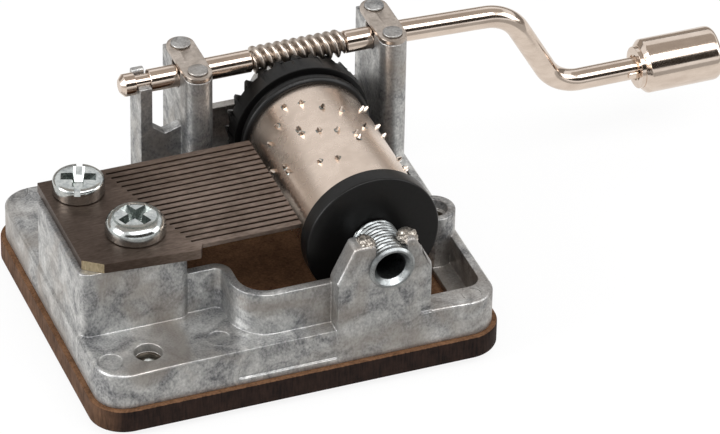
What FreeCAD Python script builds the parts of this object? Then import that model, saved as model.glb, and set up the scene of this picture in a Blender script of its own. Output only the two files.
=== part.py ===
import FreeCAD, Part
import math
import os
import re

import Sketcher
from FreeCAD import Placement, Rotation, Vector

# Hand-crank music movement on a hardboard base, in millimetres with +Z up.
# The origin is under the middle of the board, on the plane that the base screw heads stand on.
# X runs along the comb teeth towards the crank, Y runs from the front bracket to the crank shaft.

SIZES = {
    # How far pieces of one casting run into each other, and how far a cutting solid runs past its work
    "root_overlap": 0.2,
    "overshoot": 1.0,
    # Hardboard base and the screws that hold it from below
    "board_length": 50.0,
    "board_width": 40.9,
    "board_thickness": 2.9,
    "board_corner": 4.2,
    "base_screw_radius": 1.25,
    "base_head_radius": 2.8,
    "base_head_height": 1.0,
    "base_slot_width": 0.7,
    "base_slot_depth": 0.5,
    "base_hole_clearance": 0.15,
    "thread_clearance": 0.02,
    "screw_tip_depth": 1.6,
    "screw_mouth_radius": 1.65,
    "screw_mouth_depth": 1.2,
    "front_screw_inset_x": 6.68,
    "front_screw_inset_y": 3.73,
    "rear_screw_inset_x": 11.18,
    "rear_screw_inset_y": 4.63,
    # Die-cast frame: rail, platform and walls
    "frame_inset": 0.62,
    "frame_corner": 3.6,
    "rail_height": 4.6,
    "rail_edge_bevel": 0.4,
    "rim_thickness": 1.2,
    "post_land": 0.6,
    "bay_land": 0.4,
    "flange_width": 2.4,
    "flange_thickness": 0.8,
    "front_ledge": 2.2,
    "wall_thickness": 1.1,
    "wall_height": 5.5,
    "wall_back_step": 0.7,
    "wall_return_offset": 3.9,
    "wall_sweep_radius": 4.4,
    "wall_corner_radius": 0.9,
    "panel_overrun": 1.0,
    "panel_depth": 0.3,
    "panel_lip": 0.8,
    "mark_radius": 1.45,
    "mark_depth": 0.1,
    "rear_rail_width": 4.4,
    "boss_radius": 2.6,
    "boss_height": 3.0,
    "boss_setback": 15.43,
    # Comb block
    "block_side_step": 0.25,
    "block_width": 13.23,
    "block_front_inset": 0.19,
    "block_rear_inset": 0.9,
    "block_height": 8.7,
    "block_round": 1.3,
    "block_apron": 1.1,
    # Front bracket that clamps the bearing tube
    "bracket_thickness": 2.8,
    "bracket_left": 6.5,
    "bracket_right": 5.2,
    "bracket_shoulder_drop": 1.0,
    "bracket_top_rise": 3.4,
    "bracket_top_left": 4.4,
    "bracket_top_right": 2.9,
    "bracket_mouth": 1.9,
    "bracket_strip_width": 1.4,
    "bracket_strip_step": 0.5,
    # Bearing blocks and straps over the crank shaft
    "left_bearing_gap": 4.05,
    "right_bearing_gap": 3.35,
    "post_radius": 1.7,
    "post_front_offset": 3.1,
    "post_rear_offset": 3.1,
    "strap_thickness": 0.7,
    "rivet_radius": 0.8,
    "rivet_head_radius": 1.2,
    "rivet_head_height": 0.3,
    # Fork at the end of the shaft, its web, and the rear wall with the pivot boss
    "fork_gap": 6.0,
    "fork_thickness": 1.5,
    "fork_half_depth": 2.0,
    "fork_front_rise": 0.2,
    "fork_rear_rise": 0.65,
    "fork_play": 0.15,
    "web_thickness": 1.5,
    "web_left_drop": 4.7,
    "web_notch_drop": 6.5,
    "web_right_drop": 5.8,
    "rear_wall_thickness": 1.2,
    "rear_wall_height": 6.7,
    "pivot_boss_radius": 3.2,
    # Comb, its screws and its tuning weights
    "comb_thickness": 1.3,
    "comb_inset": 0.88,
    "comb_rear_setback": 13.33,
    "comb_front_setback": 8.44,
    "tooth_thickness": 0.6,
    "slot_width": 0.3,
    "root_rear_offset": 7.8,
    "root_front_offset": 13.3,
    "relief_gap": 1.0,
    "heel_overrun": 1.0,
    "heel_bulge": 0.9,
    "heel_corner_x": 2.2,
    "heel_corner_y": 1.6,
    "comb_gap": 0.15,
    "comb_hole_clearance": 0.2,
    "weight_length": 3.4,
    "weight_height": 1.4,
    "weight_side_gap": 0.08,
    "weight_tip_gap": 0.9,
    "comb_screw_radius": 1.4,
    "comb_screw_depth": 6.0,
    "rear_comb_screw_offset": 4.0,
    "rear_comb_screw_setback": 3.2,
    "rear_head_radius": 3.05,
    "rear_head_height": 2.1,
    "rear_head_round": 0.7,
    "rear_recess_angle": -21.0,
    "front_comb_screw_offset": 7.7,
    "front_comb_screw_setback": 5.1,
    "front_head_radius": 3.4,
    "front_head_height": 2.3,
    "front_head_round": 1.6,
    "front_recess_angle": 24.0,
    "recess_width": 0.8,
    "recess_length": 3.3,
    "recess_depth": 1.1,
    # Cylinder, cap, bearing tube, crown gear and pivot
    "gear_side_gap": 5.38,
    "cylinder_rise": 7.7,
    "cylinder_radius": 7.4,
    "sleeve_wall": 0.5,
    "plug_length": 2.4,
    "pin_radius": 0.28,
    "pin_height": 0.5,
    "cap_overlap": 0.3,
    "cap_rim": 0.75,
    "cap_thickness": 2.2,
    "cap_bevel": 0.3,
    "press_clearance": 0.02,
    "running_clearance": 0.06,
    "end_play": 0.15,
    "tube_radius": 2.6,
    "tube_bore": 1.8,
    "tube_journal": 2.2,
    "tube_overhang": 0.5,
    "tube_bevel": 0.25,
    "sleeve_overrun": 1.5,
    "bead_rim": 0.65,
    "bead_width": 1.35,
    "bead_round": 0.32,
    "bead_groove": 0.4,
    "bead_groove_depth": 0.5,
    "gear_rim": 1.1,
    "gear_band": 2.3,
    "gear_recess": 1.4,
    "gear_hub_radius": 2.4,
    "pivot_radius": 1.2,
    "pivot_depth": 8.0,
    # Worm drive
    "gear_teeth": 24,
    "tooth_face": 1.05,
    "tooth_tip_width": 0.2,
    "tooth_base_width": 0.84,
    "tooth_slant": -13.2,
    "shaft_setback": 5.48,
    "shaft_drop": 0.6,
    "shaft_radius": 1.365,
    "worm_root_radius": 1.0,
    "worm_crest_radius": 1.69,
    "worm_mesh_gap": 0.15,
    "worm_turns": 4.5,
    "worm_margin": 1.3,
    "worm_shift": 0.12,
    "ridge_spacing": 0.84,
    "ridge_root_width": 0.42,
    # Crank and knob
    "shaft_tail": 3.2,
    "neck_radius": 0.95,
    "crank_reach": 13.05,
    "crank_run": 12.8,
    "bend_radius": 5.4,
    "crank_offset": 12.2,
    "handle_gap": 7.3,
    "knob_length": 10.5,
    "knob_radius": 3.35,
    "knob_collar_radius": 2.6,
    "knob_collar_length": 0.5,
    "knob_bevel_length": 0.6,
    "knob_end_round": 0.9,
    "knob_bore_depth": 7.0,
    "swage_rise": 0.35,
    "swage_width": 0.9,
    "swage_length": 1.3,
}

# Heights, lines and planes that several pieces share, worked out from the sizes
PLACES = {
    # The board, the frame and the screws
    "board_base": "base_head_height",
    "board_top": "base_head_height + board_thickness",
    "rail_top": "board_top + rail_height",
    "frame_right": "board_length / 2 - frame_inset",
    "frame_rear": "board_width / 2 - frame_inset",
    "front_screw_x": "-frame_right + front_screw_inset_x",
    "front_screw_y": "-frame_rear + front_screw_inset_y",
    "rear_screw_x": "-frame_right + rear_screw_inset_x",
    "rear_screw_y": "frame_rear - rear_screw_inset_y",
    "boss_x": "frame_right - boss_radius",
    "boss_y": "-frame_rear + boss_setback",
    "boss_top": "rail_top + boss_height",
    # The comb and its block
    "comb_left_x": "-frame_right + comb_inset",
    "comb_rear_y": "frame_rear - comb_rear_setback",
    "comb_front_y": "-frame_rear + comb_front_setback",
    "tooth_pitch": "(comb_rear_y - comb_front_y) / teeth_count",
    "root_rear_x": "comb_left_x + root_rear_offset",
    "root_front_x": "comb_left_x + root_front_offset",
    "rear_comb_screw_x": "comb_left_x + rear_comb_screw_offset",
    "rear_comb_screw_y": "comb_rear_y - rear_comb_screw_setback",
    "front_comb_screw_x": "comb_left_x + front_comb_screw_offset",
    "front_comb_screw_y": "comb_front_y + front_comb_screw_setback",
    "block_left_x": "-frame_right + block_side_step",
    "block_right_x": "block_left_x + block_width",
    "block_front_y": "comb_front_y + block_front_inset",
    "block_rear_y": "comb_rear_y - block_rear_inset",
    "block_top": "rail_top + block_height",
    "heel_right_x": "block_right_x + heel_overrun",
    "comb_top": "block_top + comb_thickness",
    "tooth_bottom": "comb_top - tooth_thickness",
    "comb_tip_x": "cylinder_x - sqrt(pin_orbit ^ 2 - (tooth_bottom - cylinder_z) ^ 2) - comb_gap",
    # The cylinder, from its front cap to its gear
    "cap_radius": "cylinder_radius + cap_rim",
    "bead_radius": "cylinder_radius + bead_rim",
    "gear_radius": "cylinder_radius + gear_rim",
    "tooth_inner_radius": "gear_radius - tooth_face",
    "cylinder_x": "frame_right - gear_radius - gear_side_gap",
    "cylinder_z": "rail_top + cylinder_rise",
    "pin_orbit": "cylinder_radius + pin_height",
    "sleeve_front": "comb_front_y - cap_overlap",
    "sleeve_rear": "comb_rear_y + sleeve_overrun",
    "plug_radius": "cylinder_radius - sleeve_wall - press_clearance",
    "cap_front": "sleeve_front - cap_thickness",
    "tube_front": "-frame_rear - tube_overhang",
    "bead_rear": "sleeve_rear + bead_width",
    "band_front": "bead_rear + bead_groove",
    "band_rear": "band_front + gear_band",
    "pivot_boss_front": "frame_rear - rear_rail_width + end_play",
    # The crank shaft, its bearings and its worm
    "shaft_y": "frame_rear - shaft_setback",
    "shaft_height": "gear_radius - shaft_drop",
    "shaft_z": "cylinder_z + shaft_height",
    "left_bearing_x": "cylinder_x - gear_radius - left_bearing_gap",
    "right_bearing_x": "cylinder_x + gear_radius + right_bearing_gap",
    "fork_x": "left_bearing_x - fork_gap",
    "bearing_radius": "shaft_radius + running_clearance",
    "neck_bearing": "neck_radius + running_clearance",
    "post_top": "shaft_z + bearing_radius",
    "strap_top": "post_top + strap_thickness",
    "front_post_y": "shaft_y - post_front_offset",
    "rear_post_y": "shaft_y + post_rear_offset",
    "tooth_tip_y": "shaft_y - worm_root_radius - worm_mesh_gap",
    "worm_lead": "2 * pi * shaft_height / gear_teeth",
    "worm_length": "worm_lead * worm_turns",
    "worm_span": "worm_length + 2 * worm_margin",
    "worm_start_x": "cylinder_x - 2.25 * worm_lead - worm_shift",
    # Walls and openings of the frame
    "wall_front_y": "-frame_rear + front_ledge",
    "wall_back_y": "block_front_y + wall_back_step",
    "wall_return_x": "block_right_x + wall_return_offset",
    "panel_left_x": "wall_return_x - panel_overrun",
    "opening_front": "wall_front_y + wall_thickness",
    "opening_right": "frame_right - rim_thickness",
    "opening_left": "block_right_x + block_apron",
    "opening_rear": "front_post_y - post_radius - post_land",
    "gear_bay_left": "left_bearing_x + post_radius + bay_land",
    "gear_bay_right": "right_bearing_x - post_radius - bay_land",
    "gear_bay_rear": "frame_rear - rear_rail_width",
    "bracket_left_x": "cylinder_x - bracket_left",
    "bracket_right_x": "cylinder_x + bracket_right",
    # The crank arm and its knob
    "shaft_start_x": "fork_x - shaft_tail",
    "bend_start_x": "right_bearing_x + crank_reach",
    "bend_end_x": "bend_start_x + crank_run",
    "knob_start_x": "bend_end_x + handle_gap",
    "knob_bore": "shaft_radius + running_clearance",
    "knob_end_x": "knob_start_x + knob_length",
    "wire_end_x": "knob_start_x + knob_bore_depth - end_play",
}

# The comb has one tooth for each note, and the cylinder carries pins in as many tracks
TEETH = 18
WEIGHTED_TEETH = 8
PIN_SIDES = 6
# The teeth plucked at each step of one turn of the cylinder, counted from the rear tooth
TUNE = (
    (5, 12), (11,), (0, 4, 6, 11, 13), (2,), (7,), (4, 9, 10), (3, 8), (1, 7, 13),
    (0, 5, 6, 12), (2,), (3, 8, 9), (6,), (14,), (1, 10), (5, 16), (8, 12),
    (2,), (4, 11, 15), (7,), (0, 9), (3, 13), (6, 17), (10,), (1, 14),
)
SIZES["teeth_count"] = TEETH

TOUCH = 1e-3
Z_AXIS = Vector(0, 0, 1)
TURN_TO = {
    "x": Rotation(Vector(0, 1, 0), 90),
    "y": Rotation(Vector(1, 0, 0), -90),
    "z": Rotation(),
}

doc = FreeCAD.newDocument("music_movement")


def link(text):
    """Turns the names of sizes and places in a formula into references to their sheets."""

    def reference(match):
        word = match.group(0)
        if word in SIZES:
            return f"Sizes.{word}"
        if word in PLACES:
            return f"Places.{word}"
        return word

    return re.sub(r"[a-z][a-z_]+", reference, text)


def fill_sheet(name, rows):
    """Makes a spreadsheet with a label and an aliased cell for each row."""
    sheet = doc.addObject("Spreadsheet::Sheet", name)
    for row, alias in enumerate(rows, 1):
        sheet.set(f"A{row}", alias)
        sheet.setAlias(f"B{row}", alias)
    for row, content in enumerate(rows.values(), 1):
        sheet.set(f"B{row}", content)
    doc.recompute()
    return sheet


sizes = fill_sheet("Sizes", {alias: str(number) for alias, number in SIZES.items()})
formulas = {alias: "=" + link(text).replace("Places.", "") for alias, text in PLACES.items()}
places = fill_sheet("Places", formulas)


def value(name):
    """The present number of a size or a place."""
    sheet = sizes if name in SIZES else places
    return float(sheet.get(name))


def bind(target, formulas):
    """Ties properties of an object to formulas of the sheets."""
    for prop, formula in formulas.items():
        target.setExpression(prop, link(formula))
    return target


def box(name, x, y, z):
    """A box between two formulas on each axis."""
    solid = doc.addObject("Part::Box", name)
    for prop, axis, (low, high) in (("Length", "x", x), ("Width", "y", y), ("Height", "z", z)):
        bind(solid, {prop: f"({high}) - ({low})", f"Placement.Base.{axis}": low})
    return solid


def rod(name, axis, centre, span, radius):
    """A cylinder along an axis: its centre on the other two axes, its span and its radius."""
    solid = doc.addObject("Part::Cylinder", name)
    solid.Placement = Placement(Vector(), TURN_TO[axis])
    low, high = span
    spots = dict(zip((other for other in "xyz" if other != axis), centre))
    spots[axis] = low
    bind(solid, {"Radius": radius, "Height": f"({high}) - ({low})"})
    bind(solid, {f"Placement.Base.{spot}": formula for spot, formula in spots.items()})
    return solid


def fuse(name, solids):
    """One solid from solids that meet or overlap."""
    union = doc.addObject("Part::MultiFuse", name)
    union.Shapes = solids
    union.Refine = True
    return union


def group(name, solids):
    """Separate solids kept as one piece."""
    bundle = doc.addObject("Part::Compound", name)
    bundle.Links = solids
    return bundle


def cut(name, base, tools):
    """A solid with other solids taken out of it."""
    result = doc.addObject("Part::Cut", name)
    result.Base = base
    result.Tool = tools[0] if len(tools) == 1 else fuse(name + "_tools", tools)
    result.Refine = True
    return result


def new_body(name, axis="z", at=("0", "0", "0")):
    """A body whose own Z axis lies along the given axis, placed at three formulas."""
    body = doc.addObject("PartDesign::Body", name)
    body.Placement = Placement(Vector(), TURN_TO[axis])
    bind(body, {f"Placement.Base.{spot}": formula for spot, formula in zip("xyz", at)})
    return body


def new_sketch(body, name, role, lift="0"):
    """A sketch on one of its body's origin planes, lifted along the plane's normal."""
    sketch = body.newObject("Sketcher::SketchObject", name)
    plane = next(item for item in body.Origin.OriginFeatures if item.Role == role)
    sketch.AttachmentSupport = [(plane, "")]
    sketch.MapMode = "FlatFace"
    return bind(sketch, {"AttachmentOffset.Base.z": lift})


def pin_point(sketch, geometry, end, x, y):
    """Holds one end of a sketch line at two formulas from the sketch's origin."""
    for kind, formula in (("DistanceX", x), ("DistanceY", y)):
        index = sketch.addConstraint(Sketcher.Constraint(kind, -1, 1, geometry, end, 1.0))
        bind(sketch, {f"Constraints[{index}]": formula})


def draw(sketch, points):
    """Draws a closed outline of straight lines through corner points given as formulas."""
    count = len(points)
    ring = [Vector(math.cos(-math.tau * k / count), math.sin(-math.tau * k / count)) for k in range(count)]
    for k in range(count):
        sketch.addGeometry(Part.LineSegment(ring[k], ring[(k + 1) % count]))
    for k in range(count):
        sketch.addConstraint(Sketcher.Constraint("Coincident", k, 2, (k + 1) % count, 1))
    for k, (x, y) in enumerate(points):
        pin_point(sketch, k, 1, x, y)
    return sketch


def outline(body, name, role, points, lift="0"):
    """A closed outline on one of a body's origin planes."""
    return draw(new_sketch(body, name, role, lift), points)


def rectangle(half_x, half_y):
    """The corners of a rectangle about the origin."""
    return [
        (f"-({half_x})", f"-({half_y})"),
        (half_x, f"-({half_y})"),
        (half_x, half_y),
        (f"-({half_x})", half_y),
    ]


def pad(body, name, sketch, length, backwards=False):
    """Extrudes a sketch of a body."""
    feature = body.newObject("PartDesign::Pad", name)
    feature.Profile = sketch
    feature.Reversed = backwards
    return bind(feature, {"Length": length})


def turn(body, name, points):
    """Revolves an outline of (radius, height) corners about the body's Z axis."""
    sketch = outline(body, name + "_profile", "XZ_Plane", points)
    feature = body.newObject("PartDesign::Revolution", name)
    feature.Profile = sketch
    feature.ReferenceAxis = (sketch, ["V_Axis"])
    feature.Angle = 360
    return feature


def quarter_round(radius, height, size):
    """The corners of a turned edge that is rounded by narrow flats, from the top to the side."""
    turns = [math.radians(90 - 30 * step) for step in range(4)]
    shares = [(1 - math.cos(angle), 1 - math.sin(angle)) for angle in turns]
    corners = []
    for inward, down in shares:
        corners.append((f"{radius} - {size} * {inward:.6f}", f"{height} - {size} * {down:.6f}"))
    return corners


def soften(body, name, base, wanted, size, kind="Fillet"):
    """Fillets or chamfers the edges of a feature that pass a test."""
    doc.recompute()
    edges = base.Shape.Edges
    names = [f"Edge{k}" for k, edge in enumerate(edges, 1) if wanted(middle_of(edge), edge)]
    feature = body.newObject(f"PartDesign::{kind}", name)
    feature.Base = (base, names)
    return bind(feature, {"Radius" if kind == "Fillet" else "Size": size})


def middle_of(edge):
    """The point halfway along an edge."""
    return edge.valueAt((edge.FirstParameter + edge.LastParameter) / 2)


def upright(point, edge):
    """A test for edges that stand along the body's Z axis."""
    return abs(edge.BoundBox.ZLength - edge.Length) < TOUCH


def upright_at(x, y):
    """A test for the upright edge that stands at one spot."""

    def wanted(point, edge):
        return upright(point, edge) and math.hypot(point.x - x, point.y - y) < TOUCH

    return wanted


def level_at(height):
    """A test for edges that lie flat at one height of the body."""

    def wanted(point, edge):
        return abs(point.z - height) < TOUCH and edge.BoundBox.ZLength < TOUCH

    return wanted


def base_screw_spots():
    """The name and place of each base screw, with the height of its hole's mouth."""
    return (
        ("front", "front_screw_x", "front_screw_y", "rail_top"),
        ("right", "boss_x", "boss_y", "boss_top"),
        ("rear", "rear_screw_x", "rear_screw_y", "rail_top"),
    )


def make_base_board():
    """The hardboard with its rounded corners and screw holes."""
    body = new_body("board_slab")
    corners = rectangle("board_length / 2", "board_width / 2")
    plan = outline(body, "slab_outline", "XY_Plane", corners, "board_base")
    slab = pad(body, "slab", plan, "board_thickness")
    soften(body, "slab_corners", slab, upright, "board_corner")
    holes = []
    for name, x, y, _ in base_screw_spots():
        span = ("board_base - overshoot", "board_top + overshoot")
        holes.append(rod(f"board_hole_{name}", "z", (x, y), span, "base_screw_radius + base_hole_clearance"))
    return cut("base_board", body, holes)


def make_base_screws():
    """Slotted pan-head screws through the board into the frame."""
    screws = []
    for name, x, y, mouth in base_screw_spots():
        tip = f"{mouth} - screw_tip_depth"
        head = rod(f"base_head_{name}", "z", (x, y), ("0", "board_base"), "base_head_radius")
        shank = rod(f"base_shank_{name}", "z", (x, y), ("board_base", tip), "base_screw_radius")
        slot_x = (f"{x} - base_head_radius", f"{x} + base_head_radius")
        slot_y = (f"{y} - base_slot_width / 2", f"{y} + base_slot_width / 2")
        slot = box(f"base_slot_{name}", slot_x, slot_y, ("-overshoot", "base_slot_depth"))
        screws.append(cut(f"base_screw_{name}", fuse(f"base_blank_{name}", [head, shank]), [slot]))
    return group("base_screws", screws)


def make_frame_ring():
    """The frame's rail and platform: a rounded block with its big opening cut out."""
    body = new_body("frame_slab")
    plan = outline(body, "frame_outline", "XY_Plane", rectangle("frame_right", "frame_rear"), "board_top")
    slab = pad(body, "frame_block", plan, "rail_height")
    rounded = soften(body, "frame_corners", slab, upright, "frame_corner")
    soften(body, "frame_top_edge", rounded, level_at(value("rail_top")), "rail_edge_bevel", "Chamfer")
    return body


def make_opening():
    """The space inside the rail: under the comb and cylinder, with a bay for the gear."""
    body = new_body("opening")
    corners = [
        ("opening_left", "wall_back_y + wall_thickness"),
        ("wall_return_x + wall_thickness", "wall_back_y + wall_thickness"),
        ("wall_return_x + wall_thickness", "opening_front"),
        ("opening_right", "opening_front"),
        ("opening_right", "opening_rear"),
        ("gear_bay_right", "opening_rear"),
        ("gear_bay_right", "gear_bay_rear"),
        ("gear_bay_left", "gear_bay_rear"),
        ("gear_bay_left", "opening_rear"),
        ("opening_left", "opening_rear"),
    ]
    plan = outline(body, "opening_outline", "XY_Plane", corners, "board_top - overshoot")
    hollow = pad(body, "opening_block", plan, "rail_height + 2 * overshoot")
    return_x = value("wall_return_x") + value("wall_thickness")
    back_y = value("wall_back_y") + value("wall_thickness")
    front_y = value("opening_front")
    sweep = upright_at(return_x, front_y)
    swept = soften(body, "opening_sweep", hollow, sweep, "wall_sweep_radius - wall_thickness")
    return_edge = upright_at(return_x, back_y)
    soften(body, "opening_return", swept, return_edge, "wall_corner_radius + wall_thickness")
    return body


def make_curved_wall():
    """The thin wall that runs from the comb block round the pad to the bracket."""
    body = new_body("curved_wall")
    corners = [
        ("block_right_x - wall_thickness", "wall_back_y"),
        ("wall_return_x", "wall_back_y"),
        ("wall_return_x", "wall_front_y"),
        ("bracket_left_x + wall_thickness", "wall_front_y"),
        ("bracket_left_x + wall_thickness", "opening_front"),
        ("wall_return_x + wall_thickness", "opening_front"),
        ("wall_return_x + wall_thickness", "wall_back_y + wall_thickness"),
        ("block_right_x - wall_thickness", "wall_back_y + wall_thickness"),
    ]
    plan = outline(body, "wall_outline", "XY_Plane", corners, "rail_top - rail_edge_bevel")
    solid = pad(body, "wall_block", plan, "wall_height + rail_edge_bevel")
    outer_x = value("wall_return_x")
    inner_x = outer_x + value("wall_thickness")
    outer_back = value("wall_back_y")
    inner_back = outer_back + value("wall_thickness")
    rounds = (
        ("wall_outer_sweep", outer_x, value("wall_front_y"), "wall_sweep_radius"),
        ("wall_inner_sweep", inner_x, value("opening_front"), "wall_sweep_radius - wall_thickness"),
        ("wall_outer_corner", outer_x, outer_back, "wall_corner_radius"),
        ("wall_inner_corner", inner_x, inner_back, "wall_corner_radius + wall_thickness"),
    )
    for name, x, y, radius in rounds:
        solid = soften(body, name, solid, upright_at(x, y), radius)
    return body


def make_comb_block():
    """The tall block that carries the comb."""
    body = new_body("comb_block")
    corners = [
        ("block_left_x", "block_front_y"),
        ("block_right_x", "block_front_y"),
        ("block_right_x", "block_rear_y"),
        ("block_left_x", "block_rear_y"),
    ]
    plan = outline(body, "block_outline", "XY_Plane", corners, "rail_top - rail_edge_bevel")
    solid = pad(body, "block_pad", plan, "block_height + rail_edge_bevel")
    soften(body, "block_corners", solid, upright, "block_round")
    return body


def make_bracket():
    """The front bracket: sloped cheeks that close over the bearing tube."""
    body = new_body("bracket")
    shoulder = "cylinder_z - bracket_shoulder_drop"
    top = "cylinder_z + bracket_top_rise"
    corners = [
        ("bracket_left_x", "board_top"),
        ("bracket_left_x", shoulder),
        ("cylinder_x - bracket_top_left", top),
        ("cylinder_x + bracket_top_right", top),
        ("bracket_right_x", shoulder),
        ("bracket_right_x", "board_top"),
    ]
    profile = outline(body, "bracket_outline", "XZ_Plane", corners, "frame_rear")
    pad(body, "bracket_plate", profile, "bracket_thickness", backwards=True)
    return body


def make_bearing_block(side, x):
    """A pair of posts on one foot, the front one round, with the slot for the shaft between them."""
    y_span = ("front_post_y", "rear_post_y + post_radius")
    z_span = ("board_top", "post_top")
    x_span = (f"{x} - post_radius", f"{x} + post_radius")
    foot = box(f"{side}_foot", x_span, y_span, z_span)
    post = rod(f"{side}_front_post", "z", (x, "front_post_y"), z_span, "post_radius")
    slot_y = ("shaft_y - bearing_radius", "shaft_y + bearing_radius")
    wide = (f"{x} - post_radius - overshoot", f"{x} + post_radius + overshoot")
    slot = box(f"{side}_slot", wide, slot_y, ("shaft_z", "post_top + overshoot"))
    seat = rod(f"{side}_seat", "x", ("shaft_y", "shaft_z"), wide, "bearing_radius")
    block = cut(f"{side}_block", fuse(f"{side}_posts", [foot, post]), [slot, seat])
    pieces = [block]
    for spot in ("front_post_y", "rear_post_y"):
        centre = (x, spot)
        shank_span = ("post_top - overshoot", "strap_top")
        head_span = ("strap_top", "strap_top + rivet_head_height")
        pieces.append(rod(f"{side}_{spot}_pin", "z", centre, shank_span, "rivet_radius"))
        pieces.append(rod(f"{side}_{spot}_head", "z", centre, head_span, "rivet_head_radius"))
    return pieces


def make_fork():
    """The thin fork that sits in the neck of the shaft, and the notched web beside it."""
    x_span = ("fork_x - fork_thickness / 2", "fork_x + fork_thickness / 2")
    wide = ("fork_x - fork_thickness", "fork_x + fork_thickness")
    front = "shaft_y - fork_half_depth"
    rear = "shaft_y + fork_half_depth"
    rear_top = "shaft_z + fork_rear_rise"
    prong_middle = "shaft_y + (neck_bearing + fork_half_depth) / 2"
    prong_half = "(fork_half_depth - neck_bearing) / 2"
    plate = box("fork_plate", x_span, (front, rear), ("board_top", rear_top))
    crown = rod("fork_crown", "x", (prong_middle, rear_top), x_span, prong_half)
    notch_y = ("shaft_y - neck_bearing", "shaft_y + neck_bearing")
    notch = box("fork_notch", wide, notch_y, ("shaft_z", "shaft_z + shaft_height"))
    seat = rod("fork_seat", "x", ("shaft_y", "shaft_z"), wide, "neck_bearing")
    low_top = "shaft_z + fork_front_rise"
    trim = box("fork_trim", wide, (f"{front} - overshoot", "shaft_y"), (low_top, "shaft_z + shaft_height"))
    fork = cut("fork", fuse("fork_blank", [plate, crown]), [notch, seat, trim])
    body = new_body("fork_web")
    left = "fork_x"
    right = "left_bearing_x - post_radius + root_overlap"
    corners = [
        (left, "board_top"),
        (left, "shaft_z - web_left_drop"),
        (f"({left} + {right}) / 2", "shaft_z - web_notch_drop"),
        (right, "shaft_z - web_right_drop"),
        (right, "board_top"),
    ]
    profile = outline(body, "web_outline", "XZ_Plane", corners, f"-({front})")
    pad(body, "web_plate", profile, "web_thickness", backwards=True)
    return [fork, body]


def make_rear_wall():
    """The wall along the rear rail, with the boss that holds the cylinder's pivot pin."""
    wall_y = ("frame_rear - rear_wall_thickness", "frame_rear")
    wall_x = ("left_bearing_x", "right_bearing_x")
    wall = box("rear_wall", wall_x, wall_y, ("board_top", "rail_top + rear_wall_height"))
    boss_span = ("pivot_boss_front", "frame_rear")
    boss = rod("pivot_boss", "y", ("cylinder_x", "cylinder_z"), boss_span, "pivot_boss_radius")
    pier_x = ("cylinder_x - pivot_boss_radius", "cylinder_x + pivot_boss_radius")
    pier = box("pivot_pier", pier_x, boss_span, ("board_top", "cylinder_z"))
    return [wall, boss, pier]


def make_frame_casting():
    """The die-cast frame in one piece."""
    ring = cut("frame_ring", make_frame_ring(), [make_opening()])
    flange_x = ("opening_right - flange_width", "opening_right + root_overlap")
    flange_y = ("opening_front - root_overlap", "opening_rear + root_overlap")
    flange = box("right_flange", flange_x, flange_y, ("board_top", "board_top + flange_thickness"))
    boss = rod("right_boss", "z", ("boss_x", "boss_y"), ("board_top", "boss_top"), "boss_radius")
    solids = [ring, flange, boss, make_curved_wall(), make_comb_block(), make_bracket()]
    solids += make_bearing_block("left", "left_bearing_x")
    solids += make_bearing_block("right", "right_bearing_x")
    solids += make_fork()
    solids += make_rear_wall()
    blank = fuse("casting_blank", solids)
    return cut("frame_casting", blank, make_casting_cuts())


def make_casting_cuts():
    """Holes, the bracket's clamp bore, the front panel step and the shallow round moulding marks."""
    cuts = []
    for name, x, y, mouth in base_screw_spots():
        thread = "base_screw_radius + thread_clearance"
        thread_span = ("board_top - overshoot", f"{mouth} + overshoot")
        cuts.append(rod(f"thread_{name}", "z", (x, y), thread_span, thread))
        mouth_span = (f"{mouth} - screw_mouth_depth", f"{mouth} + overshoot")
        cuts.append(rod(f"mouth_{name}", "z", (x, y), mouth_span, "screw_mouth_radius"))
    for name, x, y in comb_screw_spots():
        span = ("block_top - comb_screw_depth - overshoot", "block_top + overshoot")
        cuts.append(rod(f"comb_thread_{name}", "z", (x, y), span, "comb_screw_radius + thread_clearance"))
    through = ("-frame_rear - overshoot", "-frame_rear + bracket_thickness + overshoot")
    axis = ("cylinder_x", "cylinder_z")
    cuts.append(rod("clamp_bore", "y", axis, through, "tube_radius + press_clearance"))
    mouth_x = ("cylinder_x - bracket_mouth", "cylinder_x + bracket_mouth")
    mouth_z = ("cylinder_z", "cylinder_z + bracket_top_rise + overshoot")
    cuts.append(box("clamp_mouth", mouth_x, through, mouth_z))
    strip_x = ("bracket_right_x - bracket_strip_width", "bracket_right_x + overshoot")
    strip_y = ("-frame_rear - overshoot", "-frame_rear + bracket_strip_step")
    strip_z = ("rail_top", "cylinder_z + bracket_top_rise + overshoot")
    cuts.append(box("bracket_strip", strip_x, strip_y, strip_z))
    panel_y = ("-frame_rear - overshoot", "-frame_rear + panel_depth")
    panel_z = ("board_top + panel_lip", "rail_top + overshoot")
    cuts.append(box("front_panel", ("panel_left_x", "bracket_left_x"), panel_y, panel_z))
    pivot_span = ("pivot_boss_front - overshoot", "frame_rear + overshoot")
    cuts.append(rod("pivot_hole", "y", axis, pivot_span, "pivot_radius + press_clearance"))
    edge = "frame_inset + mark_radius"
    marks = (
        ("rear_left", f"-frame_right + {edge}", f"frame_rear - {edge} - mark_radius"),
        ("front_left", f"-frame_right + {edge}", f"-frame_rear + {edge} + mark_radius"),
        ("front_pad", "wall_return_x - wall_sweep_radius / 2", f"-frame_rear + {edge} + mark_radius"),
    )
    mark_span = ("rail_top - mark_depth", "rail_top + overshoot")
    for name, x, y in marks:
        cuts.append(rod(f"mark_{name}", "z", (x, y), mark_span, "mark_radius"))
    return cuts


def comb_screw_spots():
    """The name and place of each comb screw."""
    return (
        ("rear", "rear_comb_screw_x", "rear_comb_screw_y"),
        ("front", "front_comb_screw_x", "front_comb_screw_y"),
    )


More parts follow.
